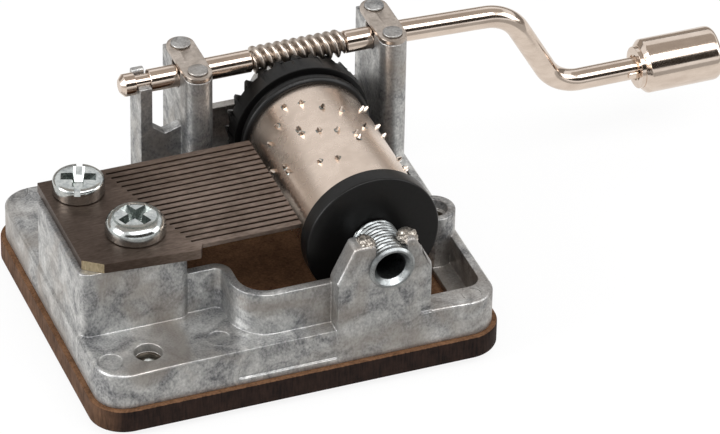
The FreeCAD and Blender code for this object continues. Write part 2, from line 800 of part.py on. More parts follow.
def make_comb():
    """The comb plate with its thinned teeth, slotted from the tips to a slanted root line."""
    body = new_body("comb_plate")
    corners = [
        ("comb_left_x", "comb_rear_y"),
        ("comb_tip_x", "comb_rear_y"),
        ("comb_tip_x", "comb_front_y"),
        ("heel_right_x + heel_bulge / 2", "comb_front_y"),
        ("heel_right_x", "comb_front_y - heel_bulge"),
        ("block_right_x", "comb_front_y - heel_bulge"),
        ("comb_left_x + heel_corner_x", "comb_front_y"),
        ("comb_left_x", "comb_front_y + heel_corner_y"),
    ]
    plan = outline(body, "comb_outline", "XY_Plane", corners, "block_top")
    pad(body, "comb_pad", plan, "comb_thickness")
    relief = new_body("comb_relief")
    relief_corners = [
        ("root_rear_x + relief_gap", "comb_rear_y + overshoot"),
        ("comb_tip_x + overshoot", "comb_rear_y + overshoot"),
        ("comb_tip_x + overshoot", "comb_front_y - 2 * overshoot"),
        ("root_front_x + relief_gap", "comb_front_y - 2 * overshoot"),
    ]
    relief_plan = outline(relief, "relief_outline", "XY_Plane", relief_corners, "block_top - overshoot")
    pad(relief, "relief_pad", relief_plan, "comb_thickness - tooth_thickness + overshoot")
    tools = [relief]
    through = ("block_top - overshoot", "comb_top + overshoot")
    for k in range(1, TEETH):
        root = f"root_rear_x + (root_front_x - root_rear_x) * {k} / teeth_count"
        middle = f"comb_rear_y - {k} * tooth_pitch"
        y_span = (f"{middle} - slot_width / 2", f"{middle} + slot_width / 2")
        tools.append(box(f"comb_slot_{k}", (root, "comb_tip_x + overshoot"), y_span, through))
    for name, x, y in comb_screw_spots():
        radius = "comb_screw_radius + comb_hole_clearance"
        tools.append(rod(f"comb_hole_{name}", "z", (x, y), through, radius))
    return cut("comb", body, tools)


def make_comb_weights():
    """Tuning weights under the tips of the long teeth, shorter from tooth to tooth."""
    weights = []
    z_span = ("tooth_bottom - weight_height", "tooth_bottom")
    for k in range(WEIGHTED_TEETH):
        front = f"comb_rear_y - {k + 1} * tooth_pitch + slot_width / 2 + weight_side_gap"
        rear = f"comb_rear_y - {k} * tooth_pitch - slot_width / 2 - weight_side_gap"
        share = 1 - k / (1.5 * WEIGHTED_TEETH)
        tip = "comb_tip_x - weight_tip_gap"
        x_span = (f"{tip} - weight_length * {share:.4f}", tip)
        weights.append(box(f"weight_{k}", x_span, (front, rear), z_span))
    return group("comb_weights", weights)


def make_comb_screw(name):
    """A round-headed machine screw with a cross recess in its head."""
    x, y = f"{name}_comb_screw_x", f"{name}_comb_screw_y"
    head_radius, head_height = f"{name}_head_radius", f"{name}_head_height"
    body = new_body(f"{name}_screw_blank", "z", (x, y, "comb_top"))
    corners = [
        ("0", head_height),
        *quarter_round(head_radius, head_height, f"{name}_head_round"),
        (head_radius, "0"),
        ("comb_screw_radius", "0"),
        ("comb_screw_radius", "-comb_thickness - comb_screw_depth"),
        ("0", "-comb_thickness - comb_screw_depth"),
    ]
    turn(body, f"{name}_screw_turned", corners)
    arms = []
    for arm, (long_side, short_side) in (("a", ("Length", "Width")), ("b", ("Width", "Length"))):
        bar = doc.addObject("Part::Box", f"{name}_recess_{arm}")
        bind(bar, {long_side: "recess_length", short_side: "recess_width"})
        bind(bar, {"Height": "recess_depth + overshoot"})
        arms.append(bar)
    bind(arms[0], {"Placement.Base.x": "-recess_length / 2", "Placement.Base.y": "-recess_width / 2"})
    bind(arms[1], {"Placement.Base.x": "-recess_width / 2", "Placement.Base.y": "-recess_length / 2"})
    cross = fuse(f"{name}_recess", arms)
    cross.Placement = Placement(Vector(), Rotation(Z_AXIS, value(f"{name}_recess_angle")))
    bind(cross, {"Placement.Base.x": x, "Placement.Base.y": y})
    bind(cross, {"Placement.Base.z": f"comb_top + {head_height} - recess_depth"})
    bind(cross, {"Placement.Rotation.Angle": f"{name}_recess_angle"})
    return cut(f"comb_screw_{name}", body, [cross])


def make_strap(side, x):
    """A steel strap with round ends over the shaft, held by the peened pins of the posts."""
    z_span = ("post_top", "strap_top")
    x_span = (f"{x} - post_radius", f"{x} + post_radius")
    middle = box(f"{side}_strap_middle", x_span, ("front_post_y", "rear_post_y"), z_span)
    ends = []
    holes = []
    for spot in ("front_post_y", "rear_post_y"):
        ends.append(rod(f"{side}_strap_{spot}", "z", (x, spot), z_span, "post_radius"))
        wide = ("post_top - overshoot", "strap_top + overshoot")
        holes.append(rod(f"{side}_hole_{spot}", "z", (x, spot), wide, "rivet_radius + press_clearance"))
    return cut(f"{side}_strap", fuse(f"{side}_strap_blank", [middle] + ends), holes)


def make_bearing_tube():
    """The hollow tube in the bracket, stepped down to the journal that the cap turns on."""
    body = new_body("bearing_tube", "y", ("cylinder_x", "0", "cylinder_z"))
    shoulder = "cap_front - end_play"
    tail = "sleeve_front + plug_length + end_play"
    corners = [
        ("tube_bore + tube_bevel", "tube_front"),
        ("tube_radius", "tube_front"),
        ("tube_radius", shoulder),
        ("tube_journal", shoulder),
        ("tube_journal", tail),
        ("tube_bore", tail),
        ("tube_bore", "tube_front + tube_bevel"),
    ]
    turn(body, "tube_turned", corners)
    return body


def make_front_cap():
    """The moulded cap in the front end of the sleeve."""
    body = new_body("front_cap", "y", ("cylinder_x", "0", "cylinder_z"))
    bore = "tube_journal + running_clearance"
    corners = [
        (bore, "cap_front"),
        ("cap_radius - cap_bevel", "cap_front"),
        ("cap_radius", "cap_front + cap_bevel"),
        ("cap_radius", "sleeve_front"),
        ("plug_radius", "sleeve_front"),
        ("plug_radius", "sleeve_front + plug_length"),
        (bore, "sleeve_front + plug_length"),
    ]
    turn(body, "cap_turned", corners)
    return body


def make_pinned_cylinder():
    """The thin sleeve with the pins of its tune."""
    body = new_body("sleeve", "y", ("cylinder_x", "0", "cylinder_z"))
    inner = "cylinder_radius - sleeve_wall"
    corners = [
        (inner, "sleeve_front"),
        ("cylinder_radius", "sleeve_front"),
        ("cylinder_radius", "sleeve_rear"),
        (inner, "sleeve_rear"),
    ]
    turn(body, "sleeve_turned", corners)
    solids = [body]
    for step, tracks in enumerate(TUNE):
        solids += [make_pin(track, step) for track in tracks]
    return fuse("pinned_cylinder", solids)


def make_pin(track, step):
    """One pin, a small stud that stands on the sleeve under its comb tooth."""
    angle = 360.0 * step / len(TUNE)
    pin = doc.addObject("Part::Prism", f"pin_{track}_{step}")
    pin.Polygon = PIN_SIDES
    outward = Vector(math.cos(math.radians(angle)), 0, math.sin(math.radians(angle)))
    pin.Placement = Placement(Vector(), Rotation(Z_AXIS, outward))
    sunk = "(cylinder_radius - sleeve_wall / 2)"
    bind(pin, {"Circumradius": "pin_radius"})
    bind(pin, {"Height": "sleeve_wall / 2 + pin_height"})
    bind(pin, {"Placement.Base.x": f"cylinder_x + {sunk} * cos({angle})"})
    bind(pin, {"Placement.Base.y": f"comb_rear_y - ({track} + 0.5) * tooth_pitch"})
    bind(pin, {"Placement.Base.z": f"cylinder_z + {sunk} * sin({angle})"})
    return pin


def make_crown_gear():
    """The moulded crown gear: plug, bead and band, with slanted teeth round its rear face."""
    body = new_body("crown_gear", "y", ("cylinder_x", "0", "cylinder_z"))
    plug_front = "sleeve_rear - plug_length"
    recess_floor = "band_rear - gear_recess"
    recess_radius = "tooth_inner_radius - tooth_base_width / 2"
    hub_rear = "pivot_boss_front - end_play"
    bore = "pivot_radius + running_clearance"
    bore_end = "frame_rear - rear_rail_width - pivot_depth"
    groove_radius = "bead_radius - bead_groove_depth"
    corners = [
        ("0", plug_front),
        ("plug_radius", plug_front),
        ("plug_radius", "sleeve_rear"),
        ("bead_radius - bead_round", "sleeve_rear"),
        ("bead_radius", "sleeve_rear + bead_round"),
        ("bead_radius", "bead_rear - bead_round"),
        ("bead_radius - bead_round", "bead_rear"),
        (groove_radius, "bead_rear"),
        (groove_radius, "band_front"),
        ("gear_radius", "band_front"),
        ("gear_radius", "band_rear"),
        (recess_radius, "band_rear"),
        (recess_radius, recess_floor),
        ("gear_hub_radius", recess_floor),
        ("gear_hub_radius", hub_rear),
        (bore, hub_rear),
        (bore, bore_end),
        ("0", bore_end),
    ]
    turn(body, "gear_turned", corners)
    profile_corners = [
        ("-tooth_base_width / 2", "band_rear - root_overlap / 2"),
        ("tooth_base_width / 2", "band_rear - root_overlap / 2"),
        ("tooth_tip_width / 2", "tooth_tip_y"),
        ("-tooth_tip_width / 2", "tooth_tip_y"),
    ]
    profile = outline(body, "tooth_profile", "YZ_Plane", profile_corners)
    profile.AttachmentOffset = Placement(Vector(), Rotation(Vector(0, 1, 0), value("tooth_slant")))
    bind(profile, {"AttachmentOffset.Base.z": "(gear_radius + tooth_inner_radius) / 2"})
    bind(profile, {"AttachmentOffset.Rotation.Angle": "tooth_slant"})
    tooth = pad(body, "gear_tooth", profile, "tooth_face")
    tooth.Midplane = True
    doc.recompute()
    ring = body.newObject("PartDesign::PolarPattern", "gear_tooth_ring")
    ring.Originals = [tooth]
    ring.Axis = (next(item for item in body.Origin.OriginFeatures if item.Role == "Z_Axis"), [""])
    ring.Angle = 360
    bind(ring, {"Occurrences": "gear_teeth"})
    body.Tip = ring
    return body


def make_rear_pivot():
    """The steel pin that the rear end of the cylinder turns on."""
    span = ("frame_rear - rear_rail_width - pivot_depth + end_play", "frame_rear")
    return rod("rear_pivot", "y", ("cylinder_x", "cylinder_z"), span, "pivot_radius")


def make_crank_wire():
    """The cranked wire: a straight shaft, two equal bends and the straight end inside the knob."""
    body = new_body("crank_wire", "z", ("0", "shaft_y", "shaft_z"))
    path = new_sketch(body, "crank_path", "XZ_Plane")
    start, end = value("shaft_start_x"), value("wire_end_x")
    first, last = value("bend_start_x"), value("bend_end_x")
    drop, radius = value("crank_offset"), value("bend_radius")
    run, fall = last - first, drop - 2 * radius
    lean = math.atan2(fall, run) + math.asin(2 * radius / math.hypot(run, fall))
    upper, lower = Vector(first, -radius), Vector(last, radius - drop)
    side = Vector(math.sin(lean), math.cos(lean))
    knee, elbow = upper + side * radius, lower - side * radius
    path.addGeometry(Part.LineSegment(Vector(start, 0), Vector(first, 0)))
    up, down = math.pi / 2, math.pi * 3 / 2
    path.addGeometry(Part.ArcOfCircle(Part.Circle(upper, Z_AXIS, radius), up - lean, up))
    path.addGeometry(Part.LineSegment(knee, elbow))
    path.addGeometry(Part.ArcOfCircle(Part.Circle(lower, Z_AXIS, radius), down - lean, down))
    path.addGeometry(Part.LineSegment(Vector(last, -drop), Vector(end, -drop)))
    for joint in ((0, 2, 1, 2), (1, 1, 2, 1), (2, 2, 3, 1), (3, 2, 4, 1)):
        path.addConstraint(Sketcher.Constraint("Tangent", *joint))
    path.addConstraint(Sketcher.Constraint("Equal", 1, 3))
    bend = path.addConstraint(Sketcher.Constraint("Radius", 1, radius))
    bind(path, {f"Constraints[{bend}]": "bend_radius"})
    pin_point(path, 0, 1, "shaft_start_x", "0")
    pin_point(path, 0, 2, "bend_start_x", "0")
    pin_point(path, 4, 1, "bend_end_x", "-crank_offset")
    pin_point(path, 4, 2, "wire_end_x", "-crank_offset")
    section = new_sketch(body, "crank_section", "YZ_Plane", "shaft_start_x")
    section.addGeometry(Part.Circle(Vector(), Z_AXIS, value("shaft_radius")))
    section.addConstraint(Sketcher.Constraint("Coincident", 0, 3, -1, 1))
    round_wire = section.addConstraint(Sketcher.Constraint("Radius", 0, value("shaft_radius")))
    bind(section, {f"Constraints[{round_wire}]": "shaft_radius"})
    doc.recompute()
    wire = body.newObject("PartDesign::AdditivePipe", "crank_sweep")
    wire.Profile = section
    wire.Spine = (path, [f"Edge{k}" for k in range(1, 6)])
    return body


def make_ring_cut(name, span, radius):
    """A sleeve that turns a stretch of the shaft down to a smaller radius."""
    axis = ("shaft_y", "shaft_z")
    outside = rod(f"{name}_outside", "x", axis, span, "shaft_radius + overshoot")
    inside = rod(f"{name}_inside", "x", axis, (f"{span[0]} - overshoot", f"{span[1]} + overshoot"), radius)
    return cut(name, outside, [inside])


def make_worm_ridge(name, shift):
    """One rolled ridge of the worm, a tapered band swept along a right-hand helix about Z."""
    helix = doc.addObject("Part::Helix", f"{name}_helix")
    bind(helix, {"Pitch": "worm_lead", "Height": "worm_length", "Radius": "worm_root_radius"})
    section = doc.addObject("Sketcher::SketchObject", f"{name}_section")
    section.Placement = Placement(Vector(), Rotation(Vector(1, 0, 0), 90))
    sunk = "worm_root_radius * 0.8"
    corners = [
        (sunk, f"{shift} - ridge_root_width / 2"),
        ("worm_crest_radius", shift),
        (sunk, f"{shift} + ridge_root_width / 2"),
    ]
    draw(section, corners)
    doc.recompute()
    ridge = doc.addObject("Part::Sweep", name)
    ridge.Sections = [section]
    ridge.Spine = (helix, ["Edge1"])
    ridge.Solid = True
    ridge.Frenet = True
    return ridge


def make_worm():
    """The rolled worm: a slim core with a pair of ridges on each turn, set to straddle the gear teeth."""
    core = doc.addObject("Part::Cylinder", "worm_core")
    margin = "(worm_span - worm_length) / 2"
    bind(core, {"Radius": "worm_root_radius", "Height": "worm_span", "Placement.Base.z": f"-{margin}"})
    left = make_worm_ridge("worm_ridge_left", "-ridge_spacing / 2")
    right = make_worm_ridge("worm_ridge_right", "ridge_spacing / 2")
    worm = fuse("worm", [core, left, right])
    worm.Refine = False
    worm.Placement = Placement(Vector(), TURN_TO["x"])
    return bind(
        worm,
        {
            "Placement.Base.x": "worm_start_x",
            "Placement.Base.y": "shaft_y",
            "Placement.Base.z": "shaft_z",
        },
    )


def make_crank_shaft():
    """The crank: bent wire with its neck for the fork, its rolled worm and the ears before the knob."""
    neck = ("fork_x - fork_thickness / 2 - fork_play", "fork_x + fork_thickness / 2 + fork_play")
    margin = "(worm_span - worm_length) / 2"
    rolled = (f"worm_start_x - {margin}", f"worm_start_x + worm_length + {margin}")
    neck_ring = make_ring_cut("neck_ring", neck, "neck_radius")
    axis = ("shaft_y", "shaft_z")
    worm_room = rod("worm_room", "x", axis, rolled, "shaft_radius + overshoot")
    turned = cut("crank_turned", make_crank_wire(), [neck_ring, worm_room])
    ear_x = ("knob_start_x - end_play - swage_length", "knob_start_x - end_play")
    ear_y = ("shaft_y - shaft_radius - swage_rise", "shaft_y + shaft_radius + swage_rise")
    handle_z = "shaft_z - crank_offset"
    ear_z = (f"{handle_z} - swage_width / 2", f"{handle_z} + swage_width / 2")
    ears = box("swaged_ears", ear_x, ear_y, ear_z)
    return fuse("crank_shaft", [turned, make_worm(), ears])


def make_crank_knob():
    """The plated knob that turns freely on the end of the wire."""
    body = new_body("crank_knob", "x", ("0", "shaft_y", "shaft_z - crank_offset"))
    bore_end = "knob_start_x + knob_bore_depth"
    collar_end = "knob_start_x + knob_collar_length"
    corners = [
        ("knob_bore", "knob_start_x"),
        ("knob_collar_radius", "knob_start_x"),
        ("knob_collar_radius", collar_end),
        ("knob_radius", f"{collar_end} + knob_bevel_length"),
        *quarter_round("knob_radius", "knob_end_x", "knob_end_round")[::-1],
        ("0", "knob_end_x"),
        ("0", bore_end),
        ("knob_bore", bore_end),
    ]
    turn(body, "knob_turned", corners)
    return body


def write_parts(pieces):
    """Checks every object of the document, then writes one file for each piece."""
    doc.recompute()
    for item in doc.Objects:
        if "Invalid" in item.State or "Error" in item.State:
            raise RuntimeError(f"{item.Name} did not build: {item.State}")
    os.makedirs("parts", exist_ok=True)
    for piece in pieces:
        if piece.Shape.isNull() or not piece.Shape.isValid():
            raise RuntimeError(f"{piece.Name} has no sound shape")
        piece.Label = piece.Name
        piece.Shape.exportStep(f"parts/{piece.Name}.step")


write_parts(
    [
        make_base_board(),
        make_base_screws(),
        make_frame_casting(),
        make_comb(),
        make_comb_weights(),
        make_comb_screw("rear"),
        make_comb_screw("front"),
        make_strap("left", "left_bearing_x"),
        make_strap("right", "right_bearing_x"),
        make_bearing_tube(),
        make_front_cap(),
        make_pinned_cylinder(),
        make_crown_gear(),
        make_rear_pivot(),
        make_crank_shaft(),
        make_crank_knob(),
    ]
)
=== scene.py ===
"""A hand-crank music movement on a hardboard base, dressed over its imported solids.

The frame is in metres with +Z up. Sizes below are in millimetres, as on a maker's drawing.
"""
import logging
import math
from dataclasses import dataclass
from enum import Enum
from typing import Any, Callable, Iterable, Sequence

import bmesh
import bpy
from mathutils import Matrix, Vector, noise
from mathutils.bvhtree import BVHTree


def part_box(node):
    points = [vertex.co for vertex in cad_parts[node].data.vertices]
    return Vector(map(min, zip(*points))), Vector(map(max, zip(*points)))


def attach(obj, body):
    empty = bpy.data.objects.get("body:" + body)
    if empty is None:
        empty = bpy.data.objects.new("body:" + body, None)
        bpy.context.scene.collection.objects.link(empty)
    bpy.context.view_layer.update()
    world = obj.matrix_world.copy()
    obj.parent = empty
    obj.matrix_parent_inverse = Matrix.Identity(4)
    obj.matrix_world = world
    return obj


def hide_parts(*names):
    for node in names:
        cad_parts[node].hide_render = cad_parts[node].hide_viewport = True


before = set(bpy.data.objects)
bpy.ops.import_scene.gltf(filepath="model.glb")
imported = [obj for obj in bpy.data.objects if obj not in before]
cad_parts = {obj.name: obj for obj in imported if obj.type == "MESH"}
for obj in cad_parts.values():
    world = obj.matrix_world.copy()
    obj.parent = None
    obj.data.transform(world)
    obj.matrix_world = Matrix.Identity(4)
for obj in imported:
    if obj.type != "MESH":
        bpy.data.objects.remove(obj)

LOG = logging.getLogger("music_movement")
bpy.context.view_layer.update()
MM = 0.001
SMOOTH_ANGLE = math.radians(25)
FLAT_ANGLE = math.radians(0.4)
SAME_SPOT = 2e-6
FRONT_FACING = -0.99
CORNER_STEPS, ROUND_STEPS, EDGE_STEPS = 6, 4, 2
Point = tuple[float, float]
PointTest = Callable[[Vector], bool]
Round = tuple[float, PointTest]


class Axis(Enum):
    """The direction that a turned piece is turned about."""

    X = "x"
    Y = "y"
    Z = "z"


class Body(Enum):
    """The bodies of the frame that pieces ride on."""

    MOVEMENT = "movement"
    CRANK = "crank"
    KNOB = "knob"
    CYLINDER = "cylinder"


def linear(code: str) -> tuple[float, float, float, float]:
    """Turns an sRGB hex colour to linear values.

    Args:
        code: Six hex digits after a hash sign.

    Returns:
        Red, green, blue and a full alpha.
    """
    parts = [int(code[place:place + 2], 16) / 255 for place in (1, 3, 5)]
    curved = [((part + 0.055) / 1.055) ** 2.4 for part in parts]
    red, green, blue = (part / 12.92 if part <= 0.04045 else bent for part, bent in zip(parts, curved))
    return red, green, blue, 1.0


def add_node(
    tree: bpy.types.NodeTree, kind: str, inputs: dict | None = None, **settings: Any
) -> bpy.types.Node:
    """Adds a node with its settings and links.

    Args:
        tree: The tree that takes the node.
        kind: Blender's name of the node type.
        inputs: Values or output sockets for the node's inputs, by name or place.
        settings: Properties of the node.

    Returns:
        The new node.
    """
    made = tree.nodes.new(kind)
    for name, value in settings.items():
        setattr(made, name, value)
    for key, value in (inputs or {}).items():
        if isinstance(value, bpy.types.NodeSocket):
            tree.links.new(value, made.inputs[key])
        else:
            made.inputs[key].default_value = value
    return made


def mix_colours(
    tree: bpy.types.NodeTree, share: bpy.types.NodeSocket, one: Any, other: Any
) -> bpy.types.NodeSocket:
    """Mixes two colours.

    Args:
        tree: The material's tree.
        share: How much of the other colour shows.
        one: A colour or its socket.
        other: The other colour or its socket.

    Returns:
        The mixed colour's socket.
    """
    return add_node(tree, "ShaderNodeMix", {0: share, 6: one, 7: other}, data_type="RGBA").outputs[2]


def named_tree(name: str, inputs: dict[str, str]) -> bpy.types.NodeTree:
    """Starts a geometry tree with named inputs.

    Args:
        name: The tree's name.
        inputs: The socket type of each input after the geometry, by its name.

    Returns:
        The tree, which takes a geometry and gives one.
    """
    tree = bpy.data.node_groups.new(name, "GeometryNodeTree")
    for title, kind in {"Geometry": "NodeSocketGeometry", **inputs}.items():
        tree.interface.new_socket(title, in_out="INPUT", socket_type=kind)
    tree.interface.new_socket("Geometry", in_out="OUTPUT", socket_type="NodeSocketGeometry")
    return tree


@dataclass(frozen=True)
class Finish:
    """A surface: what it is made of and how it was made.

    The colour runs from dark to light over blotches of a real size, and the grain lifts the surface.
    """

    name: str
    dark: str
    light: str
    metallic: float
    roughness: float
    roughness_spread: float
    blotch_mm: float
    grain_mm: float
    grain_lift_mm: float
    stretch: tuple[float, float, float] = (1.0, 1.0, 1.0)
    grain_share: float = 0.5
    swirl: float = 0.0
    patch: str = ""
    patch_mm: float = 9.0
    specular: float = 0.5
    blotch_detail: float = 7.0
    blotch_roughness: float = 0.62
    fine_detail: float = 3.0
    dark_end: float = 0.35
    light_end: float = 0.65
    patch_swirl: float = 1.0
    patch_from: float = 0.48
    patch_to: float = 0.66
    patch_share: float = 0.7
    least_roughness: float = 0.02

    def make(self) -> bpy.types.Material:
        """Builds the material.

        Returns:
            A material with a procedural colour, roughness and bump.
        """
        material = bpy.data.materials.new(self.name)
        material.use_nodes = True
        tree = material.node_tree
        tree.nodes.clear()
        where = add_node(tree, "ShaderNodeTexCoord").outputs["Object"]
        stretched = add_node(
            tree, "ShaderNodeMapping", {"Vector": where, "Scale": [part / MM for part in self.stretch]}
        ).outputs[0]
        plain = add_node(tree, "ShaderNodeMapping", {"Vector": where, "Scale": [1 / MM] * 3}).outputs[0]
        shader = add_node(
            tree, "ShaderNodeBsdfPrincipled", {"Metallic": self.metallic, "Specular IOR Level": self.specular}
        )
        self.paint(tree, shader, plain, stretched)
        add_node(tree, "ShaderNodeOutputMaterial", {"Surface": shader.outputs[0]})
        return material

    def paint(
        self,
        tree: bpy.types.NodeTree,
        shader: bpy.types.Node,
        plain: bpy.types.NodeSocket,
        stretched: bpy.types.NodeSocket,
    ) -> None:
        """Links the colour, roughness and bump of this finish.

        Args:
            tree: The material's tree.
            shader: Its surface shader.
            plain: Object coordinates in millimetres.
            stretched: The same, stretched along the way the surface was worked.
        """
        blotch = add_node(
            tree,
            "ShaderNodeTexNoise",
            {
                "Vector": plain,
                "Scale": 1 / self.blotch_mm,
                "Detail": self.blotch_detail,
                "Roughness": self.blotch_roughness,
                "Distortion": self.swirl,
            },
        ).outputs["Fac"]
        grain = add_node(
            tree,
            "ShaderNodeTexNoise",
            {"Vector": stretched, "Scale": 1 / self.grain_mm, "Detail": self.fine_detail},
        ).outputs["Fac"]
        both = add_node(
            tree, "ShaderNodeMix", {0: self.grain_share, 2: blotch, 3: grain}, data_type="FLOAT"
        ).outputs[0]
        span = {"Value": both, "From Min": self.dark_end, "From Max": self.light_end}
        share = add_node(tree, "ShaderNodeMapRange", span).outputs[0]
        colour = self.tint(tree, plain, share)
        tree.links.new(colour, shader.inputs["Base Color"])
        low = max(self.roughness - self.roughness_spread, self.least_roughness)
        high = self.roughness + self.roughness_spread
        gloss = add_node(tree, "ShaderNodeMapRange", {**span, "To Min": high, "To Max": low}).outputs[0]
        tree.links.new(gloss, shader.inputs["Roughness"])
        lifted = add_node(
            tree,
            "ShaderNodeBump",
            {"Height": grain, "Strength": 1.0, "Distance": self.grain_lift_mm * MM},
        ).outputs[0]
        tree.links.new(lifted, shader.inputs["Normal"])

    def tint(
        self, tree: bpy.types.NodeTree, plain: bpy.types.NodeSocket, share: bpy.types.NodeSocket
    ) -> bpy.types.NodeSocket:
        """Mixes the dark and the light colour.

        Args:
            tree: The material's tree.
            plain: Object coordinates in millimetres.
            share: How much of the light colour shows.

        Returns:
            The colour's socket.
        """
        mix = mix_colours(tree, share, linear(self.dark), linear(self.light))
        if not self.patch:
            return mix
        cloud = add_node(
            tree,
            "ShaderNodeTexNoise",
            {
                "Vector": plain,
                "Scale": 1 / self.patch_mm,
                "Detail": self.fine_detail,
                "Distortion": self.patch_swirl,
            },
        ).outputs["Fac"]
        tone = add_node(
            tree,
            "ShaderNodeMapRange",
            {
                "Value": cloud,
                "From Min": self.patch_from,
                "From Max": self.patch_to,
                "To Max": self.patch_share,
            },
        ).outputs[0]
        return mix_colours(tree, tone, mix, linear(self.patch))


@dataclass(frozen=True)
class TemperedComb(Finish):
    """Comb steel: a heel left brown from the furnace, and teeth ground brighter towards their tips."""

    heel_dark: str = "#463b34"
    heel_light: str = "#5d5048"
    heel_x: float = -17.0
    tooth_x: float = -8.0

    def tint(
        self, tree: bpy.types.NodeTree, plain: bpy.types.NodeSocket, share: bpy.types.NodeSocket
    ) -> bpy.types.NodeSocket:
        """Fades from the brown heel to the ground teeth.

        Args:
            tree: The material's tree.
            plain: Object coordinates in millimetres.
            share: How much of the light colour shows.

        Returns:
            The colour's socket.
        """
        teeth = super().tint(tree, plain, share)
        heel = mix_colours(tree, share, linear(self.heel_dark), linear(self.heel_light))
        along = add_node(tree, "ShaderNodeSeparateXYZ", {0: plain}).outputs["X"]
        ground = add_node(
            tree, "ShaderNodeMapRange", {"Value": along, "From Min": self.heel_x, "From Max": self.tooth_x}
        ).outputs[0]
        return mix_colours(tree, ground, heel, teeth)


@dataclass(frozen=True)
class SawnBoard(Finish):
    """Pressed fibre board: brown faces, with sides that the saw has burnt dark, and painted light on its left
    side.
    """

    burnt_dark: str = "#110907"
    burnt_light: str = "#281811"
    rub_mm: float = 0.06
    left_light_share: float = 0.55
    left_light_from: float = -0.3
    left_light_to: float = -0.9
    side_level: float = 0.75
    face_level: float = 0.95

    def tint(
        self, tree: bpy.types.NodeTree, plain: bpy.types.NodeSocket, share: bpy.types.NodeSocket
    ) -> bpy.types.NodeSocket:
        """Paints the faces brown, the sides burnt, the left side between as painted light, and rubs the top
        edge.

        Args:
            tree: The material's tree.
            plain: Object coordinates in millimetres.
            share: How much of the light colour shows.

        Returns:
            The colour's socket.
        """
        face = super().tint(tree, plain, share)
        side = mix_colours(tree, share, linear(self.burnt_dark), linear(self.burnt_light))
        normal = add_node(tree, "ShaderNodeNewGeometry").outputs["Normal"]
        facing = add_node(tree, "ShaderNodeSeparateXYZ", {0: normal}).outputs
        level = add_node(tree, "ShaderNodeMath", {0: facing["Z"]}, operation="ABSOLUTE").outputs[0]
        height = add_node(tree, "ShaderNodeSeparateXYZ", {0: plain}).outputs["Z"]
        ragged = add_node(
            tree, "ShaderNodeMath", {0: share, 1: self.rub_mm, 2: height}, operation="MULTIPLY_ADD"
        ).outputs[0]
        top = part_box("base_board")[1][2] / MM
        rubbed = add_node(
            tree,
            "ShaderNodeMapRange",
            {"Value": ragged, "From Min": top - self.rub_mm, "From Max": top + self.rub_mm / 3},
        ).outputs[0]
        flat = add_node(
            tree,
            "ShaderNodeMapRange",
            {"Value": level, "From Min": self.side_level, "From Max": self.face_level},
        ).outputs[0]
        shown = add_node(tree, "ShaderNodeMath", {0: flat, 1: rubbed}, operation="MAXIMUM").outputs[0]
        # Sides that face left are painted lighter, towards the faces' brown: painted light from the left
        left_light = add_node(
            tree,
            "ShaderNodeMapRange",
            {
                "Value": facing["X"],
                "From Min": self.left_light_from,
                "From Max": self.left_light_to,
                "To Max": self.left_light_share,
            },
        ).outputs[0]
        shown = add_node(tree, "ShaderNodeMath", {0: shown, 1: left_light}, operation="MAXIMUM").outputs[0]
        return mix_colours(tree, shown, side, face)


@dataclass(frozen=True)
class TurnedMetal(Finish):
    """Metal with fine rings round the cylinder's axis, as a lathe or a polishing belt leaves them."""

    ring_mm: float = 0.3
    ring_lift_mm: float = 0.004
    ring_detail: float = 2.0

    def paint(
        self,
        tree: bpy.types.NodeTree,
        shader: bpy.types.Node,
        plain: bpy.types.NodeSocket,
        stretched: bpy.types.NodeSocket,
    ) -> None:
        """Adds the rings to the plain finish's bump.

        Args:
            tree: The material's tree.
            shader: Its surface shader.
            plain: Object coordinates in millimetres.
            stretched: The same, stretched along the way the surface was worked.
        """
        super().paint(tree, shader, plain, stretched)
        along = add_node(tree, "ShaderNodeSeparateXYZ", {0: plain}).outputs["Y"]
        rings = add_node(
            tree,
            "ShaderNodeTexNoise",
            {"W": along, "Scale": 1 / self.ring_mm, "Detail": self.ring_detail},
            noise_dimensions="1D",
        ).outputs["Fac"]
        bump = shader.inputs["Normal"].links[0].from_node
        ringed = add_node(
            tree,
            "ShaderNodeBump",
            {"Height": rings, "Strength": 1.0, "Distance": self.ring_lift_mm * MM, "Normal": bump.outputs[0]},
        )
        tree.links.new(ringed.outputs[0], shader.inputs["Normal"])


